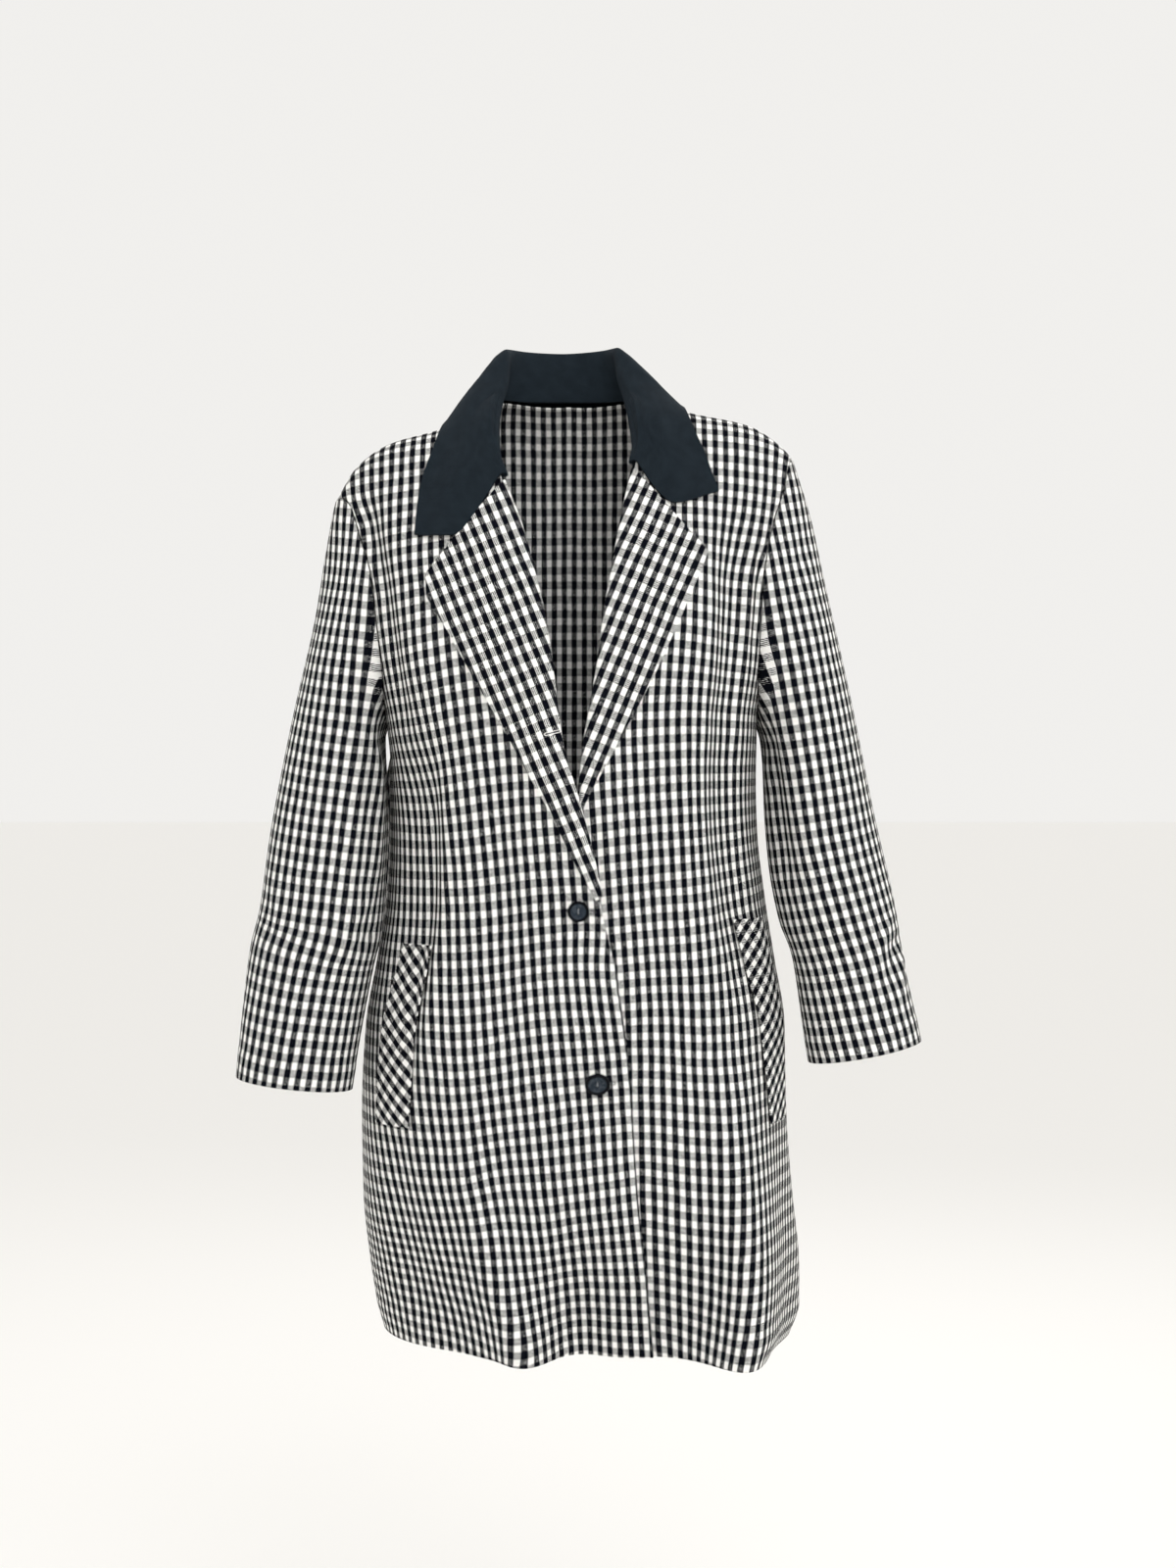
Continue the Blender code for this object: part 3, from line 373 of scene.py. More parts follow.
def body(face, turn, down):
    """A point of the body's cloth: turn in degrees from the middle (0) to a side seam (-90, 90)."""
    turn, down = np.broadcast_arrays(np.asarray(turn, float), np.asarray(down, float))
    half = by_side(BODY, down, turn)
    side = read(BODY, "side", down)
    depth = read(BODY, "front" if face == FRONT else "back", down) - side
    power = 2 / read(BODY, "square", down)
    angle = np.radians(np.abs(turn))
    across, along = np.sin(angle), np.maximum(np.cos(angle), 0)
    x = np.sign(turn) * half * across**power
    y = side + depth * along**power
    z = -down + by_side(SHOULDER, np.abs(x), x) * ridge_share(down)
    sideways = ease((np.abs(turn) - 65) / 25)
    rise = folds(FOLDS, face, turn, down) + folds(CREASES, face, turn, down)
    rise = rise / np.hypot(sideways, 1 - sideways)
    return np.stack([x + np.sign(turn) * sideways * rise, y + face * (1 - sideways) * rise, z], axis=-1)


def turn_at(x, down):
    """The angle round the body at which a level reaches x."""
    half = by_side(BODY, down, x)
    share = np.clip(np.abs(x) / half, 0, 1) ** (read(BODY, "square", down) / 2)
    return np.sign(x) * np.degrees(np.arcsin(share))


def down_at(x, height):
    """The level on which the body at x has this height."""
    down = np.maximum(-np.asarray(height, float), 0.0)
    for _ in range(12):
        down = np.maximum(by_side(SHOULDER, np.abs(x), x) * ridge_share(down) - height, 0.0)
    return down


def edge_x(side, down):
    """x of a front's inner edge on each level."""
    column = "right" if side == RIGHT else "left"
    x = read(EDGES, column, -down)
    for _ in range(6):
        x = read(EDGES, column, -down + by_side(SHOULDER, np.abs(x), x) * ridge_share(down))
    return x


def front(side, turn, down):
    """A point of a front. The right one lifts where it laps over the left one."""
    point = body(FRONT, turn, down)
    if side == RIGHT:
        lift = read(LAP_LIFT, "lift", down) * (down > LAP_LIFT["down"][0])
        point[..., 1] -= lift * ease((point[..., 0] + 0.065) / 0.05)
    return point


def lifted(side, turn, down, lift):
    """A point of a front, moved out from the middle of its cloth."""
    along = front(side, turn, down + 0.001) - front(side, turn, down - 0.001)
    across = front(side, turn + 0.3, down) - front(side, turn - 0.3, down)
    return front(side, turn, down) + unit(np.cross(along, across)) * np.asarray(lift, float)[..., None]


print("middle of the chest:", body(FRONT, 0, 0.3).round(3))

# %% Grids of points
BODY_FINENESS = 6  # rows between two of the solid's levels
PANEL_COLUMNS = 66
NECK_COLUMNS = 28


def levels():
    """The levels on which the body is worked out, closer together over the shoulders and at the armpits."""
    upper = [0.0, 0.003, 0.012, 0.030, 0.058, 0.090, 0.125, 0.160, 0.195, 0.228, 0.256, 0.277, 0.292, ARMPIT]
    knots = np.r_[upper, np.linspace(ARMPIT, HEM, 24)[1:]]
    fine = np.linspace(0, len(knots) - 1, BODY_FINENESS * (len(knots) - 1) + 1)
    return np.interp(fine, np.arange(len(knots)), knots)


def equal_turns(surface, start, end, down, count):
    """Angles from start to end on one level, at equal distances along the cloth."""
    fine = np.linspace(start, end, 3 * count)
    steps = np.linalg.norm(np.diff(surface(fine, np.full_like(fine, down)), axis=0), axis=1)
    run = np.r_[0, np.cumsum(steps)]
    return np.interp(np.linspace(0, run[-1], count), run, fine)


def front_grid(side):
    """Rows of points from the front edge out to the armhole or side seam, from the shoulder to the hem."""

    def surface(turn, down):
        return front(side, turn, down)

    rows = []
    for down in levels():
        start = float(turn_at(edge_x(side, down), down))
        end = side * float(read(ARMHOLE, "right" if side == RIGHT else "left", down))
        turns = equal_turns(surface, start, end, down, PANEL_COLUMNS)
        rows.append(front(side, turns, np.full_like(turns, down)))
    return np.array(rows)


def back_grid():
    """Rows of points from the right side to the left, with the middle columns starting at the neckline."""

    def surface(turn, down):
        return body(BACK, turn, down)

    rows = []
    for down in levels():
        neck = [float(turn_at(side * NECK_HALF, down)) for side in (RIGHT, LEFT)]
        ends = [-float(read(ARMHOLE, "right", down)), float(read(ARMHOLE, "left", down))]
        turns = np.r_[
            equal_turns(surface, ends[0], neck[0], down, PANEL_COLUMNS),
            equal_turns(surface, neck[0], neck[1], down, NECK_COLUMNS + 1)[1:-1],
            equal_turns(surface, neck[1], ends[1], down, PANEL_COLUMNS),
        ]
        x = body(BACK, turns, np.full_like(turns, down))[:, 0]
        dip = BACK_NECK_DIP * np.clip(1 - (x / NECK_HALF) ** 2, 0, 1) * max(0.0, 1 - down / 0.15)
        rows.append(body(BACK, turns, down + dip))
    return np.array(rows)


right_grid, left_grid, whole_back = front_grid(RIGHT), front_grid(LEFT), back_grid()
print("grids:", right_grid.shape, left_grid.shape, whole_back.shape)

# %% [markdown]
# ## How the check lies
#
# The warp of a hanging panel runs down it, and the weft across. Each point gets a place on the flat cloth, in
# metres, which becomes the piece's UV map. The distance down is measured along one warp thread that can be
# followed in the picture. The distance across is measured along the rows, and turned by the angle at which the
# weft rises there, so the squares stay square and the right size wherever the cloth turns away.

# %% Laying the cloth
# Warp threads of each front, as x at a height: the one that its cloth is measured from, one nearer the middle and
# the front edge. Press is how much closer the weft threads look where the cloth crinkles.
RIGHT_WARP = table(
    "height  first    second   edge    press",
    (0.050, -0.1300, -0.0650, 0.200, 1.00),
    (-0.073, -0.1300, -0.0650, 0.200, 1.00),
    (-0.126, -0.1300, -0.0650, 0.200, 1.00),
    (-0.178, -0.1268, -0.0600, 0.200, 1.00),
    (-0.231, -0.1232, -0.0530, 0.200, 1.00),
    (-0.283, -0.1158, -0.0468, 0.200, 1.00),
    (-0.336, -0.1066, -0.0426, 0.200, 1.00),
    (-0.388, -0.1006, -0.0396, 0.200, 1.00),
    (-0.440, -0.0960, -0.0356, 0.200, 1.00),
    (-0.493, -0.0928, -0.0322, 0.0380, 1.01),
    (-0.545, -0.0900, -0.0288, 0.0470, 1.02),
    (-0.598, -0.0863, -0.0237, 0.0544, 1.05),
    (-0.650, -0.0806, -0.0179, 0.0590, 1.12),
    (-0.703, -0.0727, -0.0130, 0.0620, 1.14),
    (-0.755, -0.0629, -0.0073, 0.0670, 1.11),
    (-0.808, -0.0574, -0.0017, 0.0720, 1.13),
    (-0.900, -0.0520, 0.0040, 0.0780, 1.14),
)
LEFT_WARP = table(
    "height  first   press",
    (0.050, 0.092, 1.00),
    (-0.064, 0.092, 1.00),
    (-0.194, 0.090, 1.00),
    (-0.300, 0.084, 1.00),
    (-0.441, 0.090, 1.00),
    (-0.530, 0.096, 1.00),
    (-0.599, 0.099, 1.02),
    (-0.690, 0.102, 1.07),
    (-0.900, 0.108, 1.10),
)
SECOND_THREAD = 0.064  # cloth between the first thread and the second
EDGE_THREAD = 0.144  # and between the first and the front edge
EDGE_FREE = -0.470  # above this height the edge keeps no thread
# How steeply the weft rises towards +x, in degrees: at six places across each front, on each level.
RIGHT_PLACES = (-0.1475, -0.1125, -0.0775, -0.0426, -0.0076, 0.0273)
RIGHT_WEFT = table(
    "height  side  corner  inner  middle  beside  edge",
    (0.000, 2.0, 2.0, 0.0, 0.0, 0.0, 0.0),
    (-0.126, 8.0, 9.0, 4.0, 0.0, 0.0, 0.0),
    (-0.231, 10.0, 13.0, 6.0, 0.0, 0.0, 0.0),
    (-0.336, 1.0, 12.0, 9.5, 2.5, 2.0, 2.0),
    (-0.388, -4.0, 7.0, 9.5, 7.6, 4.0, 4.0),
    (-0.440, -1.0, 2.0, 7.6, 9.2, 2.0, 0.0),
    (-0.493, 1.0, 3.0, 6.0, 11.5, 6.5, -3.0),
    (-0.545, 0.0, 0.0, 8.5, 14.5, 2.0, -3.0),
    (-0.598, 0.0, -2.5, 10.7, 13.5, 4.0, 5.0),
    (-0.650, 0.0, 2.0, 13.5, 9.5, 11.5, 5.4),
    (-0.703, 0.0, 5.0, 17.5, 3.5, 6.5, 8.5),
    (-0.755, 2.0, 10.0, 8.0, -6.0, 13.5, 6.5),
    (-0.808, -2.0, 0.0, -9.0, 3.4, 12.0, 0.0),
    (-0.870, -6.0, -6.0, -15.0, 5.0, 14.0, -4.0),
)
LEFT_PLACES = (0.0273, 0.0623, 0.0973, 0.1322, 0.1672, 0.1950)
LEFT_WEFT = table(
    "height  edge  beside  middle  inner  corner  side",
    (0.000, 0.0, 0.0, 0.0, 0.0, -4.0, -4.0),
    (-0.126, 0.0, 0.0, -2.0, -3.0, -5.5, -4.0),
    (-0.178, 0.0, 0.0, -5.0, -8.5, -4.0, 0.0),
    (-0.231, 0.0, -3.0, -6.0, -8.0, -7.0, 0.0),
    (-0.283, 2.0, 4.0, 2.0, -3.8, -2.0, 0.0),
    (-0.336, 8.0, 5.7, 3.8, 0.0, 4.0, 4.0),
    (-0.388, 9.8, 5.7, 3.8, 5.0, 10.0, 8.0),
    (-0.440, 8.0, 7.0, 3.7, 8.5, 14.0, 10.0),
    (-0.493, 6.5, 5.4, 1.8, 9.5, 12.0, 8.0),
    (-0.545, 4.0, 4.5, -3.5, 2.0, 9.0, 5.0),
    (-0.598, 0.0, 0.0, -9.2, -1.7, 6.7, 3.0),
    (-0.650, -1.0, 0.0, -10.6, -3.6, 8.0, 3.0),
    (-0.703, -3.0, -6.0, -12.2, -2.0, 9.0, 0.0),
    (-0.755, -4.0, -8.0, -13.2, -2.1, 9.0, 0.0),
    (-0.808, -4.0, -8.0, -13.0, -8.9, 8.0, 0.0),
    (-0.870, -4.0, -8.0, -14.0, -10.5, 6.0, 0.0),
)


def arc(points):
    """Distance along each row of points, from its first one."""
    steps = np.linalg.norm(np.diff(points, axis=1), axis=-1)
    return np.concatenate([np.zeros((len(points), 1)), np.cumsum(steps, axis=1)], axis=1)


def rise_at(weft, places, x, height):
    """The weft's rise at a point, in radians."""
    names = list(weft)[1:]
    columns = np.stack([read(weft, name, height) for name in names])
    spot = np.clip(np.interp(x, places, np.arange(len(places))), 0, len(places) - 1.001)
    low = spot.astype(int)
    share = spot - low
    picked = np.take_along_axis(columns, low[None], axis=0)[0] * (1 - share)
    return np.radians(picked + np.take_along_axis(columns, low[None] + 1, axis=0)[0] * share)


def lay_panel(grid, warp, weft, places, toward):
    """Places on the flat cloth. toward is 1 where the columns run towards +x, and -1 where they run away."""
    run = arc(grid) * toward
    order = slice(None, None, toward)
    names = [name for name in ("first", "second", "edge") if name in warp]
    threads = {name: np.empty(len(grid)) for name in names}
    first = np.empty((len(grid), 3))
    for row, points in enumerate(grid):
        for name in names:
            x = min(read(warp, name, float(points[:, 2].mean())), points[:, 0].max())
            threads[name][row] = np.interp(x, points[order, 0], run[row, order])
        first[row] = [np.interp(threads["first"][row], run[row, order], points[order, axis]) for axis in range(3)]
    steps = np.linalg.norm(np.diff(first, axis=0), axis=1) * read(warp, "press", first[1:, 2])
    down = np.r_[0, np.cumsum(steps)]
    down = down - np.interp(0.0, -first[:, 2], down)
    level, across = np.diff(grid[..., 2], axis=1), np.diff(grid[..., 0], axis=1)
    middle = (grid[:, 1:] + grid[:, :-1]) / 2
    change = np.tan(rise_at(weft, places, middle[..., 0], middle[..., 2])) * across - level
    step = np.diff(run, axis=1)
    straight = np.sign(step) * np.sqrt(np.maximum(step**2 - change**2, (0.3 * step) ** 2))
    start = np.zeros((len(grid), 1))
    fall = np.concatenate([start, np.cumsum(change, axis=1)], axis=1)
    over = np.concatenate([start, np.cumsum(straight, axis=1)], axis=1)
    for row in range(len(grid)):
        at = {name: np.interp(threads[name][row], run[row, order], over[row, order]) for name in names}
        fall[row] -= np.interp(threads["first"][row], run[row, order], fall[row, order])
        over[row] -= at["first"]
        if "second" in at:
            second, edge = at["second"] - at["first"], at["edge"] - at["first"]
            free = SECOND_THREAD + edge - second
            last = free + (EDGE_THREAD - free) * ease((EDGE_FREE - first[row, 2]) / 0.08)
            knots = np.array([-1, 0, second, edge, edge + 1])
            over[row] = np.interp(over[row], knots, [-1, 0, SECOND_THREAD, last, last + 1])
    return np.stack([over, down[:, None] + fall], axis=-1)


def lay_back(grid):
    """The back's warp runs straight down its middle."""
    run = arc(grid)
    middle = np.array([np.interp(0.0, points[:, 0], line) for points, line in zip(grid, run)])
    thread = np.array([[np.interp(m, line, points[:, i]) for i in range(3)] for m, line, points in zip(middle, run, grid)])
    down = np.r_[0, np.cumsum(np.linalg.norm(np.diff(thread, axis=0), axis=1))]
    return np.stack([run - middle[:, None], np.broadcast_to(down[:, None], run.shape)], axis=-1)


right_lay = lay_panel(right_grid, RIGHT_WARP, RIGHT_WEFT, RIGHT_PLACES, -1)
left_lay = lay_panel(left_grid, LEFT_WARP, LEFT_WEFT, LEFT_PLACES, 1)
back_lay = lay_back(whole_back)
print("right front lies on", np.ptp(right_lay.reshape(-1, 2), axis=0).round(3), "m of cloth")

# %% [markdown]
# ## The check cloth
#
# The cloth is a small gingham, with threads dyed dark and cream in bands. Where two dark bands cross it is
# nearly black, where two cream ones cross it is cream, and in between the threads mix to a mottled grey. More
# of the warp shows than of the weft, so the dark columns have charcoal between their squares and the light ones
# pale grey. An image could hold this, but nodes stay sharp at any distance, so the bands, the threads and their
# small faults are all worked out from the UV map.

# %% Node helpers
CLOTH_UV = "cloth"


class Nodes:
    """A short way to add nodes to a material and to wire them as they are made."""

    def __init__(self, name, roughness):
        self.material = bpy.data.materials.new(name)
        self.material.use_nodes = True
        self.tree = self.material.node_tree
        self.shader = self.tree.nodes["Principled BSDF"]
        self.shader.inputs["Roughness"].default_value = roughness

    def feed(self, socket, value):
        if isinstance(value, bpy.types.NodeSocket):
            self.tree.links.new(value, socket)
        else:
            socket.default_value = value

    def add(self, kind, *values, **settings):
        node = self.tree.nodes.new("ShaderNode" + kind)
        for name, value in settings.items():
            setattr(node, name, value)
        for socket, value in zip([s for s in node.inputs if s.enabled], values):
            if value is not None:
                self.feed(socket, value)
        return [s for s in node.outputs if s.enabled][0]

    def math(self, operation, *values):
        return self.add("Math", *values, operation=operation)

    def mix(self, share, first, second):
        return self.add("Mix", share, first, second, data_type="RGBA")

    def blend(self, share, first, second):
        return self.add("Mix", share, first, second, data_type="FLOAT")

    def step(self, value, low, high):
        return self.add("MapRange", value, low, high, 0.0, 1.0, interpolation_type="SMOOTHSTEP")

    def noise(self, place, scale, detail=2.0):
        return self.add("TexNoise", place, scale, detail, noise_dimensions="3D")

    def stretch(self, place, across, along):
        scale = (across, along, 1.0)
        return self.add("VectorMath", place, scale, operation="MULTIPLY")


def uv_place(nodes):
    """The UV map in metres, and its two coordinates."""
    place = nodes.add("UVMap", uv_map=CLOTH_UV)
    split = nodes.tree.nodes.new("ShaderNodeSeparateXYZ")
    nodes.tree.links.new(place, split.inputs[0])
    return place, split.outputs[0], split.outputs[1]


print("helpers ready")

# %% Check cloth
WARP_REPEAT = 0.010  # one dark and one cream band, across
WEFT_REPEAT = 0.0145  # and down
THREAD = 0.00052  # from one thread to the next
DARK_YARN = (0.0022, 0.0026, 0.0050, 1)
DARK_YARN_WORN = (0.0060, 0.0070, 0.0110, 1)
CREAM_YARN = (0.93, 0.925, 0.90, 1)
CREAM_YARN_WORN = (0.80, 0.79, 0.76, 1)
DARK_SHOWS = 0.93  # the share of the face that a dark warp thread covers, because it lies on top
CREAM_SHOWS = 0.42


def check_cloth(name, shift):
    """Gingham whose bands start at a shift, in metres."""
    n = Nodes(name, 0.92)
    place, u, v = uv_place(n)
    wander = n.noise(n.stretch(place, 60.0, 40.0), 1.0, 1.0)
    u = n.math("ADD", u, n.math("MULTIPLY_ADD", wander, 0.0012, -0.0006 + shift[0]))
    v = n.math("ADD", v, n.math("MULTIPLY_ADD", wander, -0.0010, 0.0005 + shift[1]))

    def bands(at, repeat):
        phase = n.math("FRACT", n.math("DIVIDE", at, repeat))
        away = n.math("MULTIPLY", n.math("ABSOLUTE", n.math("SUBTRACT", phase, 0.5)), 2.0)
        return n.step(away, 0.49, 0.57)

    cream_warp = bands(u, WARP_REPEAT)
    cream_weft = bands(v, WEFT_REPEAT)

    warp_slub = n.noise(n.stretch(place, 1900.0, 130.0), 1.0, 2.0)
    weft_slub = n.noise(n.stretch(place, 130.0, 1900.0), 1.0, 2.0)
    worn_warp = n.step(warp_slub, 0.42, 0.75)
    worn_weft = n.step(weft_slub, 0.42, 0.75)
    warp = n.mix(cream_warp, n.mix(worn_warp, DARK_YARN, DARK_YARN_WORN), n.mix(worn_warp, CREAM_YARN, CREAM_YARN_WORN))
    weft = n.mix(cream_weft, n.mix(worn_weft, DARK_YARN, DARK_YARN_WORN), n.mix(worn_weft, CREAM_YARN, CREAM_YARN_WORN))

    twill = n.math("FRACT", n.math("DIVIDE", n.math("ADD", u, v), 4 * THREAD))
    mottle = n.noise(place, 950.0, 3.0)
    uneven = n.math("MULTIPLY_ADD", mottle, 1.6, -0.80)
    shows = n.blend(cream_warp, DARK_SHOWS, CREAM_SHOWS)
    covered = n.math("SUBTRACT", n.math("ADD", twill, uneven), shows)
    over = n.step(covered, -0.20, 0.20)
    n.feed(n.shader.inputs["Base Color"], n.mix(over, warp, weft))

    ribs = n.math("SINE", n.math("MULTIPLY", u, math.tau / THREAD))
    picks = n.math("SINE", n.math("MULTIPLY", v, math.tau / THREAD))
    thread_height = n.blend(over, ribs, picks)
    nap = n.noise(place, 520.0, 3.0)
    height = n.math("ADD", n.math("MULTIPLY", thread_height, 0.16), n.math("MULTIPLY", nap, 1.4))
    bump = n.add("Bump", 0.55, 0.00022, None, height)
    n.feed(n.shader.inputs["Normal"], bump)
    n.shader.inputs["Specular IOR Level"].default_value = 0.02
    n.shader.inputs["Sheen Weight"].default_value = 0.006
    n.shader.inputs["Sheen Roughness"].default_value = 0.45
    n.shader.inputs["Sheen Tint"].default_value = (0.95, 0.95, 1.0, 1)
    return n.material


check = check_cloth("check_cloth", (0.0, 0.0))
print("check of", WARP_REPEAT * 1000, "by", WEFT_REPEAT * 1000, "mm")

# %% [markdown]
# ## The collar's twill
#
# The collar is cut from a plain navy cloth that is almost black. From close up it has the fine slanting ribs of
# a twill, and its colour is a little uneven, bluer where the nap is brushed up.

# %% Navy twill
TWILL_RIB = 0.00115  # from one slanting rib to the next
NAVY = (0.0040, 0.0075, 0.0112, 1)
NAVY_BRUSHED = (0.0160, 0.0250, 0.0335, 1)


def navy_twill(name):
    n = Nodes(name, 0.86)
    place, u, v = uv_place(n)
    waver = n.math("MULTIPLY_ADD", n.noise(place, 240.0, 2.0), 0.0007, -0.00035)
    slant = n.math("ADD", n.math("ADD", u, n.math("MULTIPLY", v, 0.62)), waver)
    rib = n.math("SINE", n.math("MULTIPLY", slant, math.tau / TWILL_RIB))
    broken = n.math("SINE", n.math("MULTIPLY", v, math.tau / (TWILL_RIB * 0.9)))
    ribs = n.math("MULTIPLY_ADD", n.math("MULTIPLY", rib, broken), 0.35, n.math("MULTIPLY", rib, 0.65))
    brushed = n.noise(place, 75.0, 4.0)
    fuzz = n.noise(place, 1500.0, 2.0)
    share = n.math("ADD", n.math("MULTIPLY", ribs, 0.34), n.math("ADD", n.math("MULTIPLY", brushed, 0.45), n.math("MULTIPLY", fuzz, 0.35)))
    n.feed(n.shader.inputs["Base Color"], n.mix(n.step(share, 0.15, 0.75), NAVY, NAVY_BRUSHED))
    height = n.math("ADD", ribs, n.math("MULTIPLY", fuzz, 1.2))
    n.feed(n.shader.inputs["Normal"], n.add("Bump", 0.7, 0.00020, None, height))
    n.shader.inputs["Specular IOR Level"].default_value = 0.10
    n.shader.inputs["Sheen Weight"].default_value = 0.03
    n.shader.inputs["Sheen Roughness"].default_value = 0.5
    n.shader.inputs["Sheen Tint"].default_value = (0.75, 0.85, 1.0, 1)
    return n.material


twill = navy_twill("navy_twill")
print("ribs every", TWILL_RIB * 1000, "mm")

# %% [markdown]
# ## Walls of cloth
#
# A panel begins as a flat grid. Its points are moved to the drape, its UVs are the places on the flat cloth, and
# one extrusion gives it its thickness. A small bevel rounds the cut or turned edges, which also leaves the thin
# groove that a pressed seam shows.

# %% From a grid to a wall
EDGE_ROUND = 0.0006
EDGE_SHARP = math.radians(50)


def normals_of(grid, above=None, left=None, right=None, closed=False):
    """Unit normals of a grid. A neighbour's row or column carries them smoothly over a seam."""
    along = np.gradient(grid, axis=0)
    across = np.gradient(grid, axis=1)
    if closed:
        across[:, 0] = across[:, -1] = grid[:, 1] - grid[:, -2]
    if above is not None:
        known = np.isfinite(above[:, 0])
        along[0, known] = grid[1, known] - above[known]
    if left is not None:
        across[:, 0] = np.where(np.isfinite(left), grid[:, 1] - left, across[:, 0])
    if right is not None:
        across[:, -1] = np.where(np.isfinite(right), right - grid[:, -2], across[:, -1])
    return unit(np.cross(across, along))


def set_back(grid, top=False, left=False, right=False):
    """Draws the sewn edges of a piece back by half the seam gap."""
    grid = grid.copy()
    half = SEAM_GAP / 2
    if top:
        grid[0] += unit(grid[1] - grid[0]) * half
    if left:
        grid[:, 0] += unit(grid[:, 1] - grid[:, 0]) * half
    if right:
        grid[:, -1] += unit(grid[:, -2] - grid[:, -1]) * half
    return grid


def wall(name, middle, normals, thick, lay, material):
    """A closed wall of even thickness on both sides of a grid of points, with its flat cloth as its UV map."""
    rows, columns = middle.shape[:2]
    half = np.asarray(thick, float)[..., None] / 2
    outer = (middle + normals * half).reshape(-1, 3)
    inner = (middle - normals * half).reshape(-1, 3)
    flat = lay.reshape(-1, 2)
    mesh = bmesh.new()
    bmesh.ops.create_grid(mesh, x_segments=columns - 1, y_segments=rows - 1, size=0.5)
    spot = mesh.verts.layers.int.new("spot")
    for vert in mesh.verts:
        column = round((vert.co.x + 0.5) * (columns - 1))
        row = round((vert.co.y + 0.5) * (rows - 1))
        vert[spot] = row * columns + column
        vert.co = Vector(outer[vert[spot]])
    made = bmesh.ops.extrude_face_region(mesh, geom=mesh.faces[:], use_keep_orig=True)
    for vert in (item for item in made["geom"] if isinstance(item, bmesh.types.BMVert)):
        vert.co = Vector(inner[vert[spot]])
    bmesh.ops.recalc_face_normals(mesh, faces=mesh.faces[:])
    places = mesh.loops.layers.uv.new(CLOTH_UV)
    for face in mesh.faces:
        face.smooth = True
        for loop in face.loops:
            loop[places].uv = flat[loop.vert[spot]]
    piece = add(name, mesh, material)
    rounded = piece.modifiers.new("Turned edge", "BEVEL")
    rounded.width = EDGE_ROUND
    rounded.segments = 2
    rounded.angle_limit = EDGE_SHARP
    rounded.use_clamp_overlap = True
    return piece


def add(name, mesh, material):
    """Puts a bmesh into the scene as a named object."""
    data = bpy.data.meshes.new(name)
    mesh.to_mesh(data)
    mesh.free()
    data.materials.append(material)
    piece = bpy.data.objects.new(name, data)
    bpy.context.scene.collection.objects.link(piece)
    return piece


def fit(piece, slot, *nodes):
    """Puts a piece in the place of its solids."""
    if nodes:
        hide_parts(*nodes)
    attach(piece, "root")
    print(f"{piece.name}: {len(piece.data.polygons)} faces")


print("edges rounded by", EDGE_ROUND * 1000, "mm")

# %% Fronts and back
HEM_TURN = 0.032  # how far the hem is turned up inside
HEM_THICKER = 0.0008  # what the turned-up layer adds


def panel_thickness(grid):
    """The cloth's thickness, a little more where the hem is turned up."""
    height = grid[-1][None, :, 2]
    return CLOTH + HEM_THICKER * ease((HEM_TURN - (grid[..., 2] - height)) / 0.004)


below = levels() >= ARMPIT
unknown = np.full((len(below), 3), np.nan)
right_beside, left_beside = unknown.copy(), unknown.copy()
right_beside[below], left_beside[below] = whole_back[below, 1], whole_back[below, -2]
cloth_right = wall(
    "cloth_front_right",
    set_back(right_grid, top=True, right=True),
    normals_of(right_grid, above=whole_back[1, :PANEL_COLUMNS][::-1], right=right_beside),
    panel_thickness(right_grid),
    right_lay,
    check,
)
cloth_left = wall(
    "cloth_front_left",
    set_back(left_grid, top=True, right=True),
    normals_of(left_grid, above=whole_back[1, -PANEL_COLUMNS:], right=left_beside),
    panel_thickness(left_grid),
    left_lay,
    check,
)
over_ridge = np.full((whole_back.shape[1], 3), np.nan)
over_ridge[:PANEL_COLUMNS] = right_grid[1][::-1]
over_ridge[-PANEL_COLUMNS:] = left_grid[1]
right_beside[below], left_beside[below] = right_grid[below, -2], left_grid[below, -2]
cloth_back = wall(
    "cloth_back",
    set_back(whole_back, top=True, left=True, right=True),
    normals_of(whole_back, above=over_ridge, left=right_beside, right=left_beside),
    panel_thickness(whole_back),
    back_lay,
    check,
)
fit(cloth_right, "check_cloth", "front_right")
fit(cloth_left, "check_cloth", "front_left")
fit(cloth_back, "check_cloth", "back")

# %% [markdown]
# ## Sleeves
#
# A set-in sleeve is a tapering tube whose top is cut to fit the armhole. Here its first ring is the armhole
# itself, and the next rings grow from that shape into the rounder sections of the arm. The sleeve is sewn up
# under the arm, so its grid is left open there by the width of a seam.

# %% Sleeve tables
RIGHT_SLEEVE = table(
    "outer_x  outer_z  under_x  under_z  middle  half",
    (-0.2190, -0.0870, -0.1700, -0.2990, 0.004, 0.055),
    (-0.2290, -0.1410, -0.1745, -0.3200, 0.000, 0.062),
    (-0.2395, -0.2030, -0.1730, -0.3450, -0.004, 0.064),
    (-0.2590, -0.2930, -0.1712, -0.3900, -0.012, 0.063),
    (-0.2780, -0.3990, -0.1724, -0.4500, -0.024, 0.061),
    (-0.2865, -0.4690, -0.1745, -0.4900, -0.034, 0.058),
    (-0.2947, -0.5050, -0.1815, -0.5200, -0.038, 0.056),
    (-0.3009, -0.5720, -0.1920, -0.5800, -0.052, 0.053),
    (-0.3040, -0.6220, -0.2000, -0.6340, -0.062, 0.051),
)
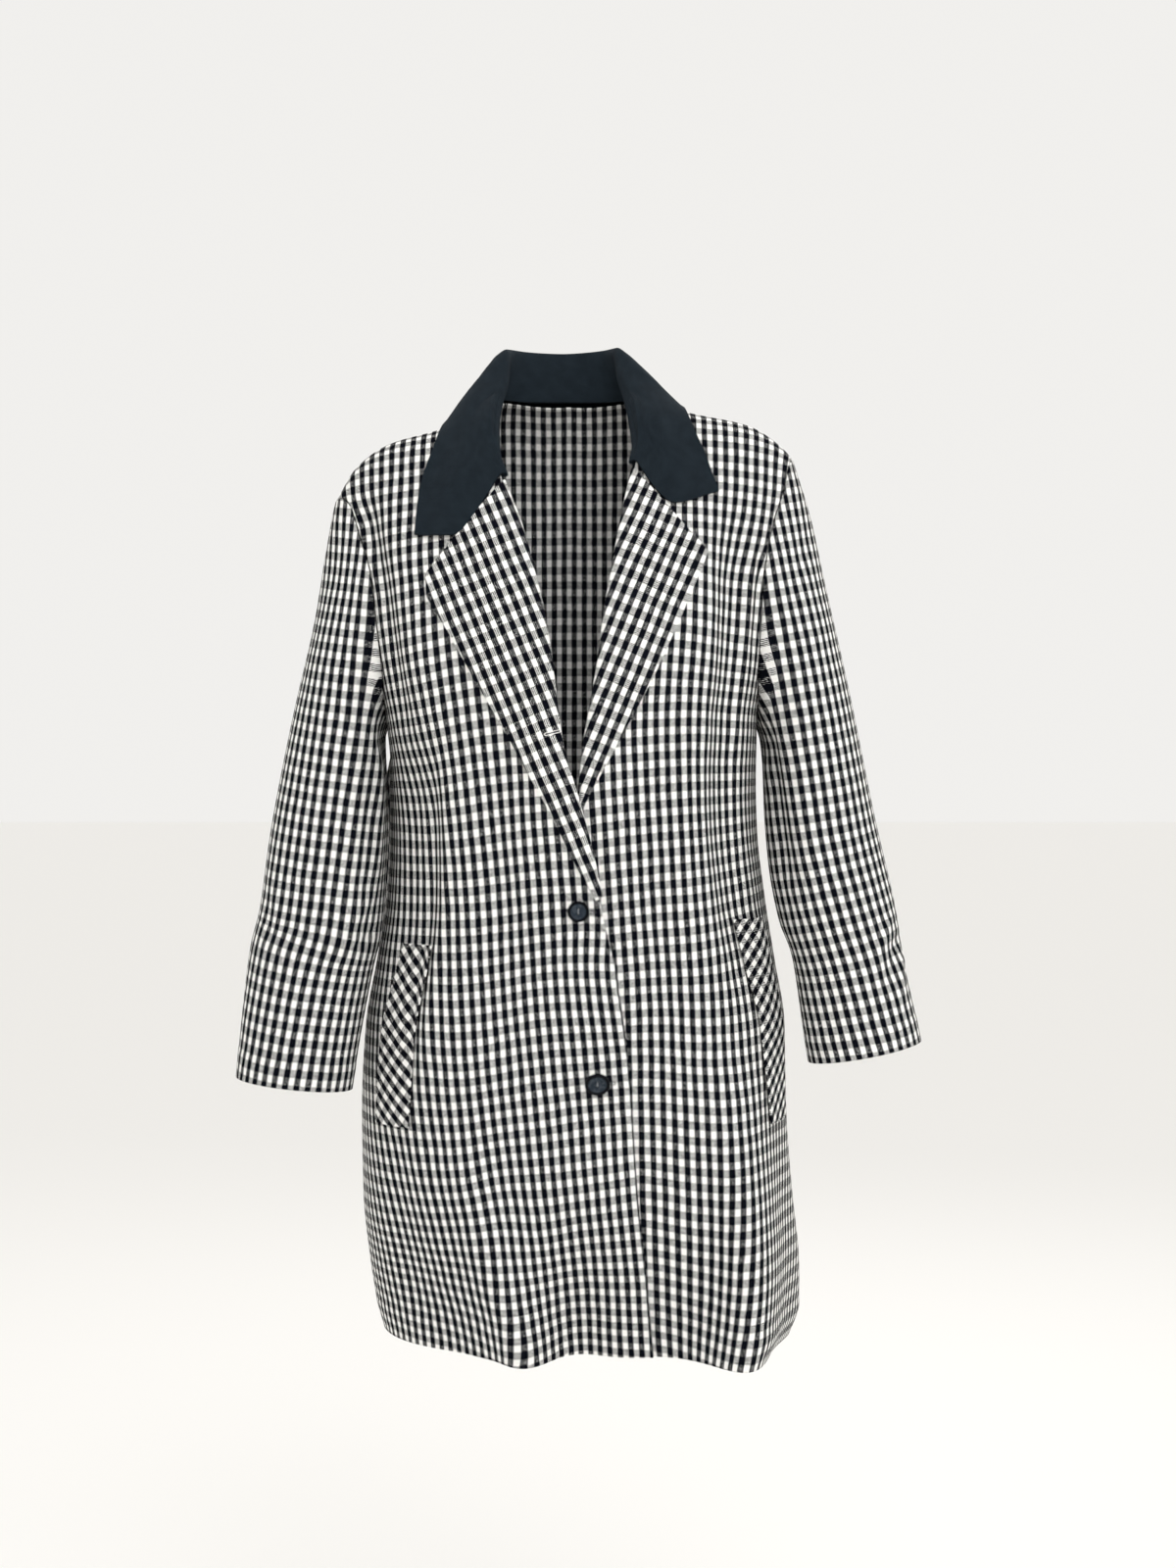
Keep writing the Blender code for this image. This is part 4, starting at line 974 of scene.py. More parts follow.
LEFT_SLEEVE = table(
    "outer_x  outer_z  under_x  under_z  middle  half",
    (0.2120, -0.0540, 0.1780, -0.2990, 0.004, 0.055),
    (0.2304, -0.1130, 0.1830, -0.3180, 0.000, 0.062),
    (0.2434, -0.1720, 0.1850, -0.3380, -0.004, 0.064),
    (0.2646, -0.2680, 0.1860, -0.3750, -0.008, 0.063),
    (0.2868, -0.3800, 0.1900, -0.4300, -0.013, 0.060),
    (0.3060, -0.4720, 0.1985, -0.4800, -0.026, 0.057),
    (0.3118, -0.5160, 0.2097, -0.5120, -0.034, 0.054),
    (0.3225, -0.5720, 0.2193, -0.5800, -0.046, 0.051),
    (0.3252, -0.5900, 0.2238, -0.6100, -0.054, 0.050),
)
# Folds and creases, as shares of the sleeve's length and angles round it: 0 along the outside, 90 the front, 180
# under the arm, with a half width in degrees and a height.
RIGHT_SLEEVE_FOLDS = table(
    "top   bottom  from_turn to_turn  wide  first  last",
    (0.22, 0.80, 112.0, 122.0, 15.0, -0.004, -0.006),
    (0.16, 0.56, 150.0, 146.0, 13.0, -0.004, -0.004),
    (0.30, 0.74, 62.0, 70.0, 22.0, 0.002, 0.003),
    (0.52, 0.84, 205.0, 250.0, 16.0, -0.004, -0.005),
    (0.60, 0.90, 262.0, 300.0, 16.0, 0.003, 0.003),
    (0.10, 0.34, 88.0, 104.0, 7.0, -0.0014, -0.0018),
    (0.34, 0.62, 94.0, 100.0, 8.0, 0.0014, 0.0016),
    (0.50, 0.66, 150.0, 112.0, 7.0, -0.0018, -0.0014),
    (0.60, 0.72, 158.0, 126.0, 6.0, 0.0016, 0.0010),
    (0.56, 0.74, 30.0, 52.0, 8.0, 0.0012, 0.0016),
    (0.74, 0.97, 96.0, 84.0, 9.0, -0.0014, -0.0020),
    (0.06, 0.30, 300.0, 288.0, 9.0, -0.0018, -0.0022),
    (0.46, 0.66, 318.0, 290.0, 8.0, 0.0016, 0.0014),
)
LEFT_SLEEVE_FOLDS = table(
    "top   bottom  from_turn to_turn  wide  first  last",
    (0.06, 0.62, 152.0, 140.0, 15.0, -0.006, -0.006),
    (0.20, 0.70, 112.0, 104.0, 18.0, 0.003, 0.003),
    (0.66, 0.82, 20.0, 62.0, 13.0, -0.004, -0.003),
    (0.52, 0.84, 208.0, 246.0, 16.0, -0.004, -0.005),
    (0.60, 0.90, 268.0, 304.0, 16.0, 0.003, 0.003),
    (0.08, 0.30, 60.0, 76.0, 7.0, -0.0012, -0.0016),
    (0.30, 0.56, 84.0, 92.0, 8.0, -0.0012, -0.0014),
    (0.52, 0.68, 146.0, 108.0, 7.0, 0.0018, 0.0012),
    (0.62, 0.74, 34.0, 66.0, 7.0, 0.0020, 0.0014),
    (0.72, 0.84, 10.0, 46.0, 6.0, 0.0022, 0.0012),
    (0.80, 0.98, 80.0, 92.0, 9.0, -0.0012, -0.0018),
    (0.06, 0.30, 302.0, 290.0, 9.0, -0.0018, -0.0022),
    (0.46, 0.66, 316.0, 292.0, 8.0, 0.0016, 0.0014),
)
TOP_STANDOFF = 0.0007  # from the armhole's edge to the sleeve's first ring, at the top of the shoulder
UNDER_STANDOFF = 0.0027  # and under the arm, where the sleeve folds back down beside the body
CAP = 0.30  # the share of a sleeve over which its cap leaves the shape of the armhole
SLEEVE_ROWS = 118
SLEEVE_COLUMNS = 88
UNDER_SEAM = 196.0  # the angle at which the sleeve is sewn up
WEFT_TIP = 0.12  # how far the rings of weft tip down at the front
WEFT_SAG = 2.0  # and how fast they fall towards the body, for each metre from the arm's line squared
SLEEVE_SWING = {RIGHT: 0.008, LEFT: 0.016}  # how far the warp swings outwards towards the cuff
SWING_OVER = 0.22  # and over what length
SLEEVE_PRESS = 1.03  # how much closer the weft threads look than they lie
UNDER_CAP = 0.17  # the share of the sleeve from which the middle line has the arm's direction
print(len(RIGHT_SLEEVE_FOLDS["top"]), "creases in each sleeve")

# %% Sleeves


def armhole_at(side, front_points, back_points, angles):
    """Points of the armhole at these angles: down the front edge to 180, and up the back edge to 360."""
    count = int(np.sum(levels() <= ARMPIT))
    down_front = front_points[:count, -1]
    up_back = back_points[:count, 0 if side == RIGHT else -1][::-1]
    loop, turns = [], []
    for line, first in ((down_front, 0.0), (up_back, 180.0)):
        run = np.r_[0, np.cumsum(np.linalg.norm(np.diff(line, axis=0), axis=1))]
        loop.append(line)
        turns.append(first + 180 * run / run[-1])
    loop, turns = np.concatenate(loop), np.concatenate(turns)
    loop, turns = np.concatenate([loop, loop]), np.concatenate([turns, turns + 360])
    return np.stack([np.interp(angles, turns, loop[:, axis]) for axis in range(3)], axis=-1)


def crease(creases, share, angles):
    """How far the creases push the cloth of a sleeve out."""
    rise = np.zeros((len(share), len(angles)))
    for top, bottom, start, end, wide, first, last in zip(*creases.values()):
        along = (share[:, None] - top) / (bottom - top)
        shape = (first + (last - first) * np.clip(along, 0, 1)) * ease(along / 0.3) * ease((1 - along) / 0.3)
        away = (angles[None] - start - (end - start) * along + 180) % 360 - 180
        rise += shape * np.exp(-((away / wide) ** 2))
    return rise


def arm_line(guide):
    """The line down the middle of the arm, run on straight past both ends of the sleeve."""
    keys = np.linspace(0, 1, len(guide["middle"]))
    share = np.linspace(UNDER_CAP, 1, 200)
    columns = ((guide["outer_x"] + guide["under_x"]) / 2, guide["middle"], (guide["outer_z"] + guide["under_z"]) / 2)
    arm = np.stack([smooth(share, keys, values) for values in columns], axis=-1)
    first, last = unit(arm[20] - arm[0]), unit(arm[-1] - arm[-20])
    reach = np.linspace(0.30, 0.002, 120)[:, None]
    return np.concatenate([arm[0] - first * reach, arm, arm[-1] + last * reach[::-1]])


def lay_sleeve(grid, side, guide):
    """The weft lies square to the line down the middle of the arm, and the warp runs along it."""
    line = arm_line(guide)
    length = np.r_[0, np.cumsum(np.linalg.norm(np.diff(line, axis=0), axis=1))]
    along = unit(np.gradient(line, axis=0) * [1, 0, 1])
    along[:, 1] = WEFT_TIP
    facing = normals_of(grid, closed=True)
    down, over, inward, turned_by = (np.empty(grid.shape[:2]) for _ in range(4))
    outside = np.empty((len(grid), 3))
    for row, ring in enumerate(grid):
        short_of = np.einsum("pka,ka->pk", line[None] - ring[:, None], along)
        down[row] = [np.interp(0.0, distances, length) for distances in short_of]
        centre, axis = (np.stack([np.interp(down[row], length, of[:, i]) for i in range(3)], -1) for of in (line, along))
        away = ring - centre
        inward[row] = np.maximum(-away[:, 0] * side, 0)
        turn = np.unwrap(np.arctan2(-away[:, 1], away[:, 0] * side))
        turned_by[row] = turn - math.tau * round((turn.mean() - math.pi / 2) / math.tau)
        weft = unit(np.cross(facing[row], axis))
        across = np.sum(np.diff(ring, axis=0) * (weft[1:] + weft[:-1]) / 2, axis=1)
        over[row] = np.r_[0, np.cumsum(across * np.sign(across.sum()))]
        over[row] -= np.interp(math.pi / 2, turned_by[row], over[row])
        edge, place = (np.interp(0, turned_by[row], of[row]) for of in (over, down))
        outside[row] = place, edge, -edge / (math.pi / 2)
    edge, radius = (np.interp(down, outside[:, 0], outside[:, column]) for column in (1, 2))
    over = np.where(turned_by < 0, edge + radius * turned_by, over)
    down = down - down[-1].mean()
    over = over + SLEEVE_SWING[side] * np.clip(1 + down / SWING_OVER, 0, 1) ** 1.4
    return np.stack([over, (down - WEFT_SAG * inward**2) * SLEEVE_PRESS], axis=-1)


def sleeve(name, side, guide, creases, front_points, back_points):
    """A tube from the armhole to the cuff. Angles run from the outside forwards and under."""
    share = np.linspace(0, 1, SLEEVE_ROWS)
    angles = np.linspace(UNDER_SEAM, UNDER_SEAM + 360, SLEEVE_COLUMNS)
    keys = np.linspace(0, 1, len(guide["middle"]))
    run = {column: smooth(share, keys, values)[:, None] for column, values in guide.items()}
    turn = np.radians(angles)[None, :]
    up, fore = np.cos(turn), np.sin(turn)
    x = (run["outer_x"] + run["under_x"]) / 2 + (run["outer_x"] - run["under_x"]) / 2 * up
    z = (run["outer_z"] + run["under_z"]) / 2 + (run["outer_z"] - run["under_z"]) / 2 * up
    rings = np.stack([x, run["middle"] - run["half"] * fore, z], axis=-1)
    above, under = (1 + up[0]) / 2, (1 - up[0]) / 2
    start = armhole_at(side, front_points, back_points, angles)
    start[:, 0] += side * (TOP_STANDOFF * above + UNDER_STANDOFF * under)
    start[:, 2] -= TOP_STANDOFF * above
    rings = rings + (start - rings[0])[None] * (1 - ease(share / CAP))[:, None, None]
    rings = rings + normals_of(rings, closed=True) * crease(creases, share, angles)[..., None]
    normals = normals_of(rings, closed=True)
    lay = lay_sleeve(rings, side, guide)
    thick = CLOTH + HEM_THICKER * ease((HEM_TURN + lay[..., 1]) / 0.004)
    return wall(name, set_back(rings, left=True, right=True), normals, thick, lay, check), lay


sleeve_right, sleeve_right_lay = sleeve("cloth_sleeve_right", RIGHT, RIGHT_SLEEVE, RIGHT_SLEEVE_FOLDS, right_grid, whole_back)
sleeve_left, sleeve_left_lay = sleeve("cloth_sleeve_left", LEFT, LEFT_SLEEVE, LEFT_SLEEVE_FOLDS, left_grid, whole_back)
fit(sleeve_right, "check_cloth", "sleeve_right")
fit(sleeve_left, "check_cloth", "sleeve_left")

# %% [markdown]
# ## Lapels
#
# A lapel is the front's facing, turned back along the roll line. Its cloth goes round the edge of the front and
# lies on it, a few millimetres out, so each row here runs from inside the front, round the roll and out to the
# lapel's edge. Its warp follows the lapel and not the body, which is why its check leans.

# %% Lapels
RIGHT_LAPEL_EDGE = table(
    "x       height",
    (-0.1283, -0.1625),
    (-0.1270, -0.1840),
    (-0.1065, -0.2164),
    (-0.0826, -0.2588),
    (-0.0460, -0.3215),
    (-0.0163, -0.3757),
    (0.0116, -0.4324),
    (0.0308, -0.4655),
)
LEFT_LAPEL_EDGE = table(
    "x       height",
    (0.1264, -0.1420),
    (0.1160, -0.1690),
    (0.1024, -0.2031),
    (0.0756, -0.2600),
    (0.0448, -0.3171),
    (0.0169, -0.3678),
    (0.0110, -0.3850),
)
RIGHT_ROLL = (-0.0770, -0.466)  # heights between which the right lapel rolls back
LEFT_ROLL = (-0.0655, -0.383)
# Across the roll: near is the distance from the roll line, far the share of the lapel's width, lift the height.
ROLL = table(
    "at    near     far   lift",
    (0.0, 0.0120, 0.00, -0.0032),
    (1.0, 0.0050, 0.00, -0.0031),
    (2.0, 0.0000, 0.00, -0.0029),
    (3.0, -0.0019, 0.00, -0.0014),
    (4.0, -0.0024, 0.00, 0.0003),
    (5.0, -0.0017, 0.00, 0.0020),
    (6.0, 0.0006, 0.00, 0.0032),
    (7.0, 0.0000, 0.20, 0.0041),
    (8.0, 0.0000, 0.48, 0.0037),
    (9.0, 0.0000, 0.76, 0.0030),
    (10.0, 0.0000, 1.00, 0.0027),
)
LAPEL_ROWS = 76
LAPEL_COLUMNS = 41
LAPEL_LEAN = math.radians(22.5)  # of its warp, from upright
LAPEL_PRESS = 0.94  # the weft threads of the lapels lie further apart


def lay_lapel(grid, side, roll, outer):
    """Places on the flat facing, turned so that its warp leans with the lapel."""
    run = arc(grid[:, ::-1])[:, ::-1]
    down = np.array([-side * math.sin(LAPEL_LEAN), -math.cos(LAPEL_LEAN)])
    over = np.array([-side * math.cos(LAPEL_LEAN), math.sin(LAPEL_LEAN)])
    inward = unit(roll - outer)
    u = (outer @ over)[:, None] + run * (inward @ over)[:, None]
    v = (outer @ down)[:, None] + run * (inward @ down)[:, None]
    return np.stack([u * -side, v * LAPEL_PRESS], axis=-1)


def lapel(name, side, edge, roll_heights):
    """The facing turned back over a front, following it all the way round its roll line."""
    share = np.linspace(0, 0.97, LAPEL_ROWS)
    run = np.r_[0, np.cumsum(np.hypot(np.diff(edge["x"]), np.diff(edge["height"])))]
    outer_x = np.interp(share, run / run[-1], edge["x"])
    outer_z = np.interp(share, run / run[-1], edge["height"])
    roll_z = roll_heights[0] + (roll_heights[1] - roll_heights[0]) * share
    roll_x = read(EDGES, "right" if side == RIGHT else "left", roll_z)
    width = np.hypot(outer_x - roll_x, outer_z - roll_z)
    at = np.linspace(0, ROLL["at"][-1], LAPEL_COLUMNS)
    section = {column: read(ROLL, column, at) for column in ("near", "far", "lift")}
    reach = section["near"][None] / width[:, None] + section["far"][None]
    x = roll_x[:, None] + (outer_x - roll_x)[:, None] * reach
    z = roll_z[:, None] + (outer_z - roll_z)[:, None] * reach
    down = down_at(x, z)
    grid = lifted(side, turn_at(x, down), down, np.broadcast_to(section["lift"], x.shape))
    lay = lay_lapel(grid, side, np.stack([roll_x, roll_z], axis=-1), np.stack([outer_x, outer_z], axis=-1))
    return wall(name, grid, normals_of(grid), np.full(x.shape, LAPEL_CLOTH), lay, check), lay


lapel_right, lapel_right_lay = lapel("cloth_lapel_right", RIGHT, RIGHT_LAPEL_EDGE, RIGHT_ROLL)
lapel_left, lapel_left_lay = lapel("cloth_lapel_left", LEFT, LEFT_LAPEL_EDGE, LEFT_ROLL)
fit(lapel_right, "check_cloth", "lapel_right")
fit(lapel_left, "check_cloth", "lapel_left")

# %% [markdown]
# ## Collar
#
# The collar stands up from the neckline, folds over, and falls onto the shoulders. It is one strip, so it is
# built as one wall whose lines run round the neck: the foot, the two sides of the fold, the middle of the fall
# and the edge. Its fall is then pushed clear of the cloth that it lies on.

# %% Collar table
COLLAR = table(
    "foot_x foot_y  foot_z  fold_x  fold_y  fold_z  mid_x  mid_y  mid_z  edge_x  edge_level",
    (-0.0610, -0.0670, -0.0715, -0.0587, -0.0735, -0.0680, -0.1035, -0.0915, -0.1265, -0.1367, 0.1168),
    (-0.0640, -0.0560, -0.0490, -0.0658, -0.0640, -0.0434, -0.1020, -0.0760, -0.0830, -0.1344, 0.0835),
    (-0.0700, -0.0405, -0.0190, -0.0674, -0.0450, -0.0181, -0.0992, -0.0640, -0.0540, -0.1306, 0.0575),
    (-0.0715, -0.0240, 0.0000, -0.0657, -0.0220, 0.0080, -0.0967, -0.0440, -0.0210, -0.1220, 0.0300),
    (-0.0720, -0.0030, 0.0115, -0.0605, -0.0020, 0.0340, -0.0960, -0.0180, 0.0100, -0.1145, 0.0036),
    (-0.0650, 0.0190, 0.0150, -0.0598, 0.0200, 0.0620, -0.0890, 0.0150, 0.0260, -0.1120, -0.0090),
    (-0.0440, 0.0340, 0.0150, -0.0460, 0.0460, 0.0650, -0.0720, 0.0620, 0.0280, -0.0950, -0.0215),
    (-0.0030, 0.0430, 0.0160, -0.0060, 0.0590, 0.0650, -0.0060, 0.0820, 0.0300, -0.0060, -0.0410),
    (0.0400, 0.0350, 0.0150, 0.0350, 0.0460, 0.0660, 0.0620, 0.0620, 0.0320, 0.0860, -0.0225),
    (0.0640, 0.0190, 0.0150, 0.0468, 0.0200, 0.0637, 0.0810, 0.0130, 0.0310, 0.1025, -0.0080),
    (0.0715, 0.0000, 0.0115, 0.0493, 0.0000, 0.0394, 0.0875, -0.0170, 0.0130, 0.1085, 0.0090),
    (0.0705, -0.0200, 0.0020, 0.0554, -0.0180, 0.0136, 0.0874, -0.0460, -0.0137, 0.1155, 0.0280),
    (0.0680, -0.0370, -0.0150, 0.0598, -0.0360, -0.0108, 0.0912, -0.0620, -0.0400, 0.1242, 0.0480),
    (0.0625, -0.0510, -0.0370, 0.0631, -0.0560, -0.0348, 0.0942, -0.0720, -0.0650, 0.1298, 0.0650),
    (0.0620, -0.0605, -0.0590, 0.0600, -0.0680, -0.0555, 0.0968, -0.0815, -0.0960, 0.1356, 0.0806),
)
COLLAR_LIFT = 0.0036  # from the middle of the body's cloth to that of the collar's outer edge
FOLD_DROP = 0.006  # the fold's round top: how far down, in and out its sides begin
FOLD_IN = 0.0036
FOLD_OUT = (0.0042, 0.0090)  # at the collar's ends and elsewhere
FALL_FROM = 2.5  # where the fall begins on the lines across the collar
COLLAR_ROWS = 31
COLLAR_COLUMNS = 121
print(len(COLLAR["foot_x"]), "stations round the neck")

# %% Collar


def cloud():
    """Points and outward normals all over the cloth that the collar's fall lies on."""
    points, normals = [], []
    for face in (FRONT, BACK):
        for down in np.linspace(0.0002, 0.16, 60):
            for side in (RIGHT, LEFT):
                inner = float(edge_x(side, down)) if face == FRONT else 0.0
                turn = np.linspace(float(turn_at(inner, down)), side * 58.0, 60)
                x = body(face, turn, np.full_like(turn, down))[:, 0]
                dip = 0 if face == FRONT else BACK_NECK_DIP * np.clip(1 - (x / NECK_HALF) ** 2, 0, 1)
                level = np.maximum(down, dip)
                along = body(face, turn, level + 0.0001) - body(face, turn, level - 0.0001)
                across = body(face, turn + 0.2, level) - body(face, turn - 0.2, level)
                points.append(body(face, turn, level))
                normals.append(unit(np.cross(along, across)) * -face)
    return np.concatenate(points), np.concatenate(normals)


def pushed_clear(points, clear):
    """Points moved out to at least this distance from the cloth of the body."""
    near, normals = cloud()
    flat = points.reshape(-1, 3).copy()
    for _ in range(2):
        for i, point in enumerate(flat):
            nearest = np.argmin(np.sum((near - point) ** 2, axis=1))
            height = np.dot(point - near[nearest], normals[nearest])
            flat[i] = point + normals[nearest] * max(0.0, clear - height)
    return flat.reshape(points.shape)


def collar_grid():
    """Rows from the foot of the stand over the fold to the collar's edge, columns round the neck."""
    stations = np.arange(len(COLLAR["fold_x"]), dtype=float)
    fine = np.linspace(0, stations[-1], 8 * COLLAR_COLUMNS)
    level = smooth(fine, stations, COLLAR["edge_level"])
    edge = body(FRONT, turn_at(smooth(fine, stations, COLLAR["edge_x"]), np.abs(level)), np.abs(level))
    edge[:, 1] *= np.where(level < 0, -1, 1)
    length = np.r_[0, np.cumsum(np.linalg.norm(np.diff(edge, axis=0), axis=1))]
    at = np.interp(np.linspace(0, length[-1], COLLAR_COLUMNS), length, fine)
    run = {column: smooth(at, stations, values) for column, values in COLLAR.items()}
    foot, fold, mid = (
        np.stack([run[line + axis] for axis in ("_x", "_y", "_z")], axis=-1) for line in ("foot", "fold", "mid")
    )
    level = np.abs(run["edge_level"])
    turn = turn_at(run["edge_x"], level)
    before = run["edge_level"][:, None] > 0
    edge = np.where(before, body(FRONT, turn, level), body(BACK, turn, level))
    edge = edge + unit(edge - [0, 0.01, -0.10]) * COLLAR_LIFT
    out = unit((mid - foot) * [1, 1, 0])
    from_end = np.minimum(at, stations[-1] - at)
    down = np.outer(FOLD_DROP * (0.3 + 0.7 * ease(from_end)), [0, 0, 1])
    fall_out = np.interp(from_end, (0.0, 2.0), FOLD_OUT)[:, None]
    inside, outside = fold - out * FOLD_IN - down, fold + out * fall_out - down
    lines = np.stack([foot, inside, fold, outside, mid, edge])
    keys = np.arange(6.0)
    across = np.linspace(0, 5, COLLAR_ROWS)
    grid = np.empty((len(across), len(at), 3))
    for column in range(len(at)):
        for axis in range(3):
            grid[:, column, axis] = smooth(across, keys, lines[:, column, axis])
    fall = across >= FALL_FROM
    grid[fall] = pushed_clear(grid[fall], COLLAR_LIFT)
    return grid


neck_grid = collar_grid()
around = arc(neck_grid)
across = np.swapaxes(arc(np.swapaxes(neck_grid, 0, 1)), 0, 1)
collar_lay = np.stack([around - around.mean(axis=1, keepdims=True), across], axis=-1)
collar = wall(
    "cloth_collar",
    neck_grid,
    normals_of(neck_grid),
    np.full(neck_grid.shape[:2], COLLAR_CLOTH),
    collar_lay,
    twill,
)
fit(collar, "navy_twill", "collar")

# %% [markdown]
# ## Pocket welts
#
# Each welt is a strip cut on the bias and laid over the pocket's mouth, so its check stands on its corners.

# %% Welts
RIGHT_WELT = table("down turn", (0.500, -39.5), (0.664, -42.5))
LEFT_WELT = table("down turn", (0.478, 50.0), (0.664, 60.0))
WELT_WIDTH = 0.047
WELT_BIAS = math.radians(53)  # between the welt's length and its warp
WELT_LIFT = 0.0036
WELT_ROWS = 48
WELT_COLUMNS = 17


def welt(name, side, ends):
    """A strip laid on a front, from its front edge round towards the side seam."""
    rows = []
    for down in np.linspace(ends["down"][0], ends["down"][-1], WELT_ROWS):
        first = float(np.interp(down, ends["down"], ends["turn"]))
        fine = np.linspace(first, side * 89.0, 90)
        line = front(side, fine, np.full_like(fine, down))
        run = np.r_[0, np.cumsum(np.linalg.norm(np.diff(line, axis=0), axis=1))]
        turns = np.interp(np.linspace(0, WELT_WIDTH, WELT_COLUMNS), run, fine)
        rows.append(lifted(side, turns, np.full_like(turns, down), np.full_like(turns, WELT_LIFT)))
    grid = np.array(rows)
    over = arc(grid) * side
    down = np.linspace(0, ends["down"][-1] - ends["down"][0], WELT_ROWS)[:, None]
    lean = np.array([math.cos(WELT_BIAS), math.sin(WELT_BIAS)])
    lay = np.stack([over * lean[0] + side * down * lean[1], down * lean[0] - side * over * lean[1]], axis=-1)
    return wall(name, grid, normals_of(grid), np.full(grid.shape[:2], LAPEL_CLOTH), lay, check), lay


welt_right, welt_right_lay = welt("cloth_welt_right", RIGHT, RIGHT_WELT)
welt_left, welt_left_lay = welt("cloth_welt_left", LEFT, LEFT_WELT)
fit(welt_right, "check_cloth", "pocket_welt_right")
fit(welt_left, "check_cloth", "pocket_welt_left")

# %% [markdown]
# ## Buttons and buttonholes
#
# A coat button is turned from a blank: a rounded rim, a dished face and two holes. Its outline is spun round,
# and the holes are drilled. It hangs on a shank of thread as long as the two layers of cloth are thick, which
# is why the lower one droops. The buttonholes are slits whose edges are covered with close stitches, so each is
# a ring of thread whose radius goes in and out. The third one is on the roll of the lapel, where nothing is
# buttoned.

# %% Glossy slate and thread
SLATE = (0.0025, 0.0035, 0.0055, 1)
SLATE_DISH = (0.020, 0.029, 0.041, 1)
SLATE_LIGHT = (0.042, 0.054, 0.068, 1)


def slate_gloss(name):
    """A dark rim and back, and a cloudy, lighter dish. u runs from the middle of the button to its rim."""
    n = Nodes(name, 0.25)
    place, out, up = uv_place(n)
    dish = n.math("MULTIPLY", n.math("SUBTRACT", 1.0, n.step(out, 0.66, 0.80)), n.step(up, 0.30, 0.50))
    where = n.tree.nodes.new("ShaderNodeTexCoord")
    cloudy = n.step(n.noise(where.outputs["Object"], 300.0, 3.0), 0.40, 0.66)
    n.feed(n.shader.inputs["Base Color"], n.mix(dish, SLATE, n.mix(cloudy, SLATE_DISH, SLATE_LIGHT)))
    n.shader.inputs["Specular IOR Level"].default_value = 0.10
    return n.material


def thread(name, colour):
    n = Nodes(name, 0.7)
    n.shader.inputs["Base Color"].default_value = colour
    n.shader.inputs["Sheen Weight"].default_value = 0.15
    return n.material


slate = slate_gloss("slate_gloss")
dark_thread = thread("dark_thread", (0.008, 0.010, 0.016, 1))
slate_thread = thread("slate_thread", (0.16, 0.18, 0.20, 1))
cream_thread = thread("cream_thread", (0.78, 0.77, 0.74, 1))
print("slate and three threads")

# %% Buttons
BUTTONS = table(
    "x       height   radius  lean  lift",
    (0.0099, -0.4656, 0.0095, 4.0, 0.0028),
    (0.0265, -0.6180, 0.0112, 32.0, 0.0079),
)
BUTTON_THICK = 0.0038
# From the middle of the back, round the rim, to the middle of the face: shares of the radius and the thickness.
BUTTON_OUTLINE = table(
    "at    out    up",
    (0.0, 0.00, 0.00),
    (1.0, 0.78, 0.00),
    (2.0, 0.95, 0.12),
    (3.0, 1.00, 0.42),
    (4.0, 0.985, 0.80),
    (5.0, 0.92, 0.98),
    (6.0, 0.84, 0.97),
    (7.0, 0.76, 0.74),
    (8.0, 0.60, 0.60),
    (9.0, 0.00, 0.56),
)
HOLE_RADIUS = 0.00105
HOLE_FROM_MIDDLE = 0.0021
STITCH = 0.00028  # half the thickness of the sewing thread


def baked(piece):
    """A piece's mesh with its modifiers applied."""
    graph = bpy.context.evaluated_depsgraph_get()
    return bpy.data.meshes.new_from_object(piece.evaluated_get(graph))


def cord(points, radii, closed):
    """A thread along these points, as a mesh."""
    path = bpy.data.curves.new("thread", "CURVE")
    path.dimensions = "3D"
    path.bevel_depth = 1.0
    path.bevel_resolution = 1
    path.use_fill_caps = not closed
    line = path.splines.new("POLY")
    line.points.add(len(points) - 1)
    for spot, place, radius in zip(line.points, points, radii):
        spot.co = (*place, 1)
        spot.radius = radius
    line.use_cyclic_u = closed
    holder = bpy.data.objects.new("thread", path)
    bpy.context.scene.collection.objects.link(holder)
    bpy.context.view_layer.update()
    mesh = baked(holder)
    bpy.data.objects.remove(holder)
    return mesh


def placed(name, meshes, place, material):
    """One object out of several meshes, moved to their place."""
    whole = bmesh.new()
    for mesh in meshes:
        whole.from_mesh(mesh)
    bmesh.ops.transform(whole, matrix=place, verts=whole.verts[:])
    for face in whole.faces:
        face.smooth = True
    return add(name, whole, material)


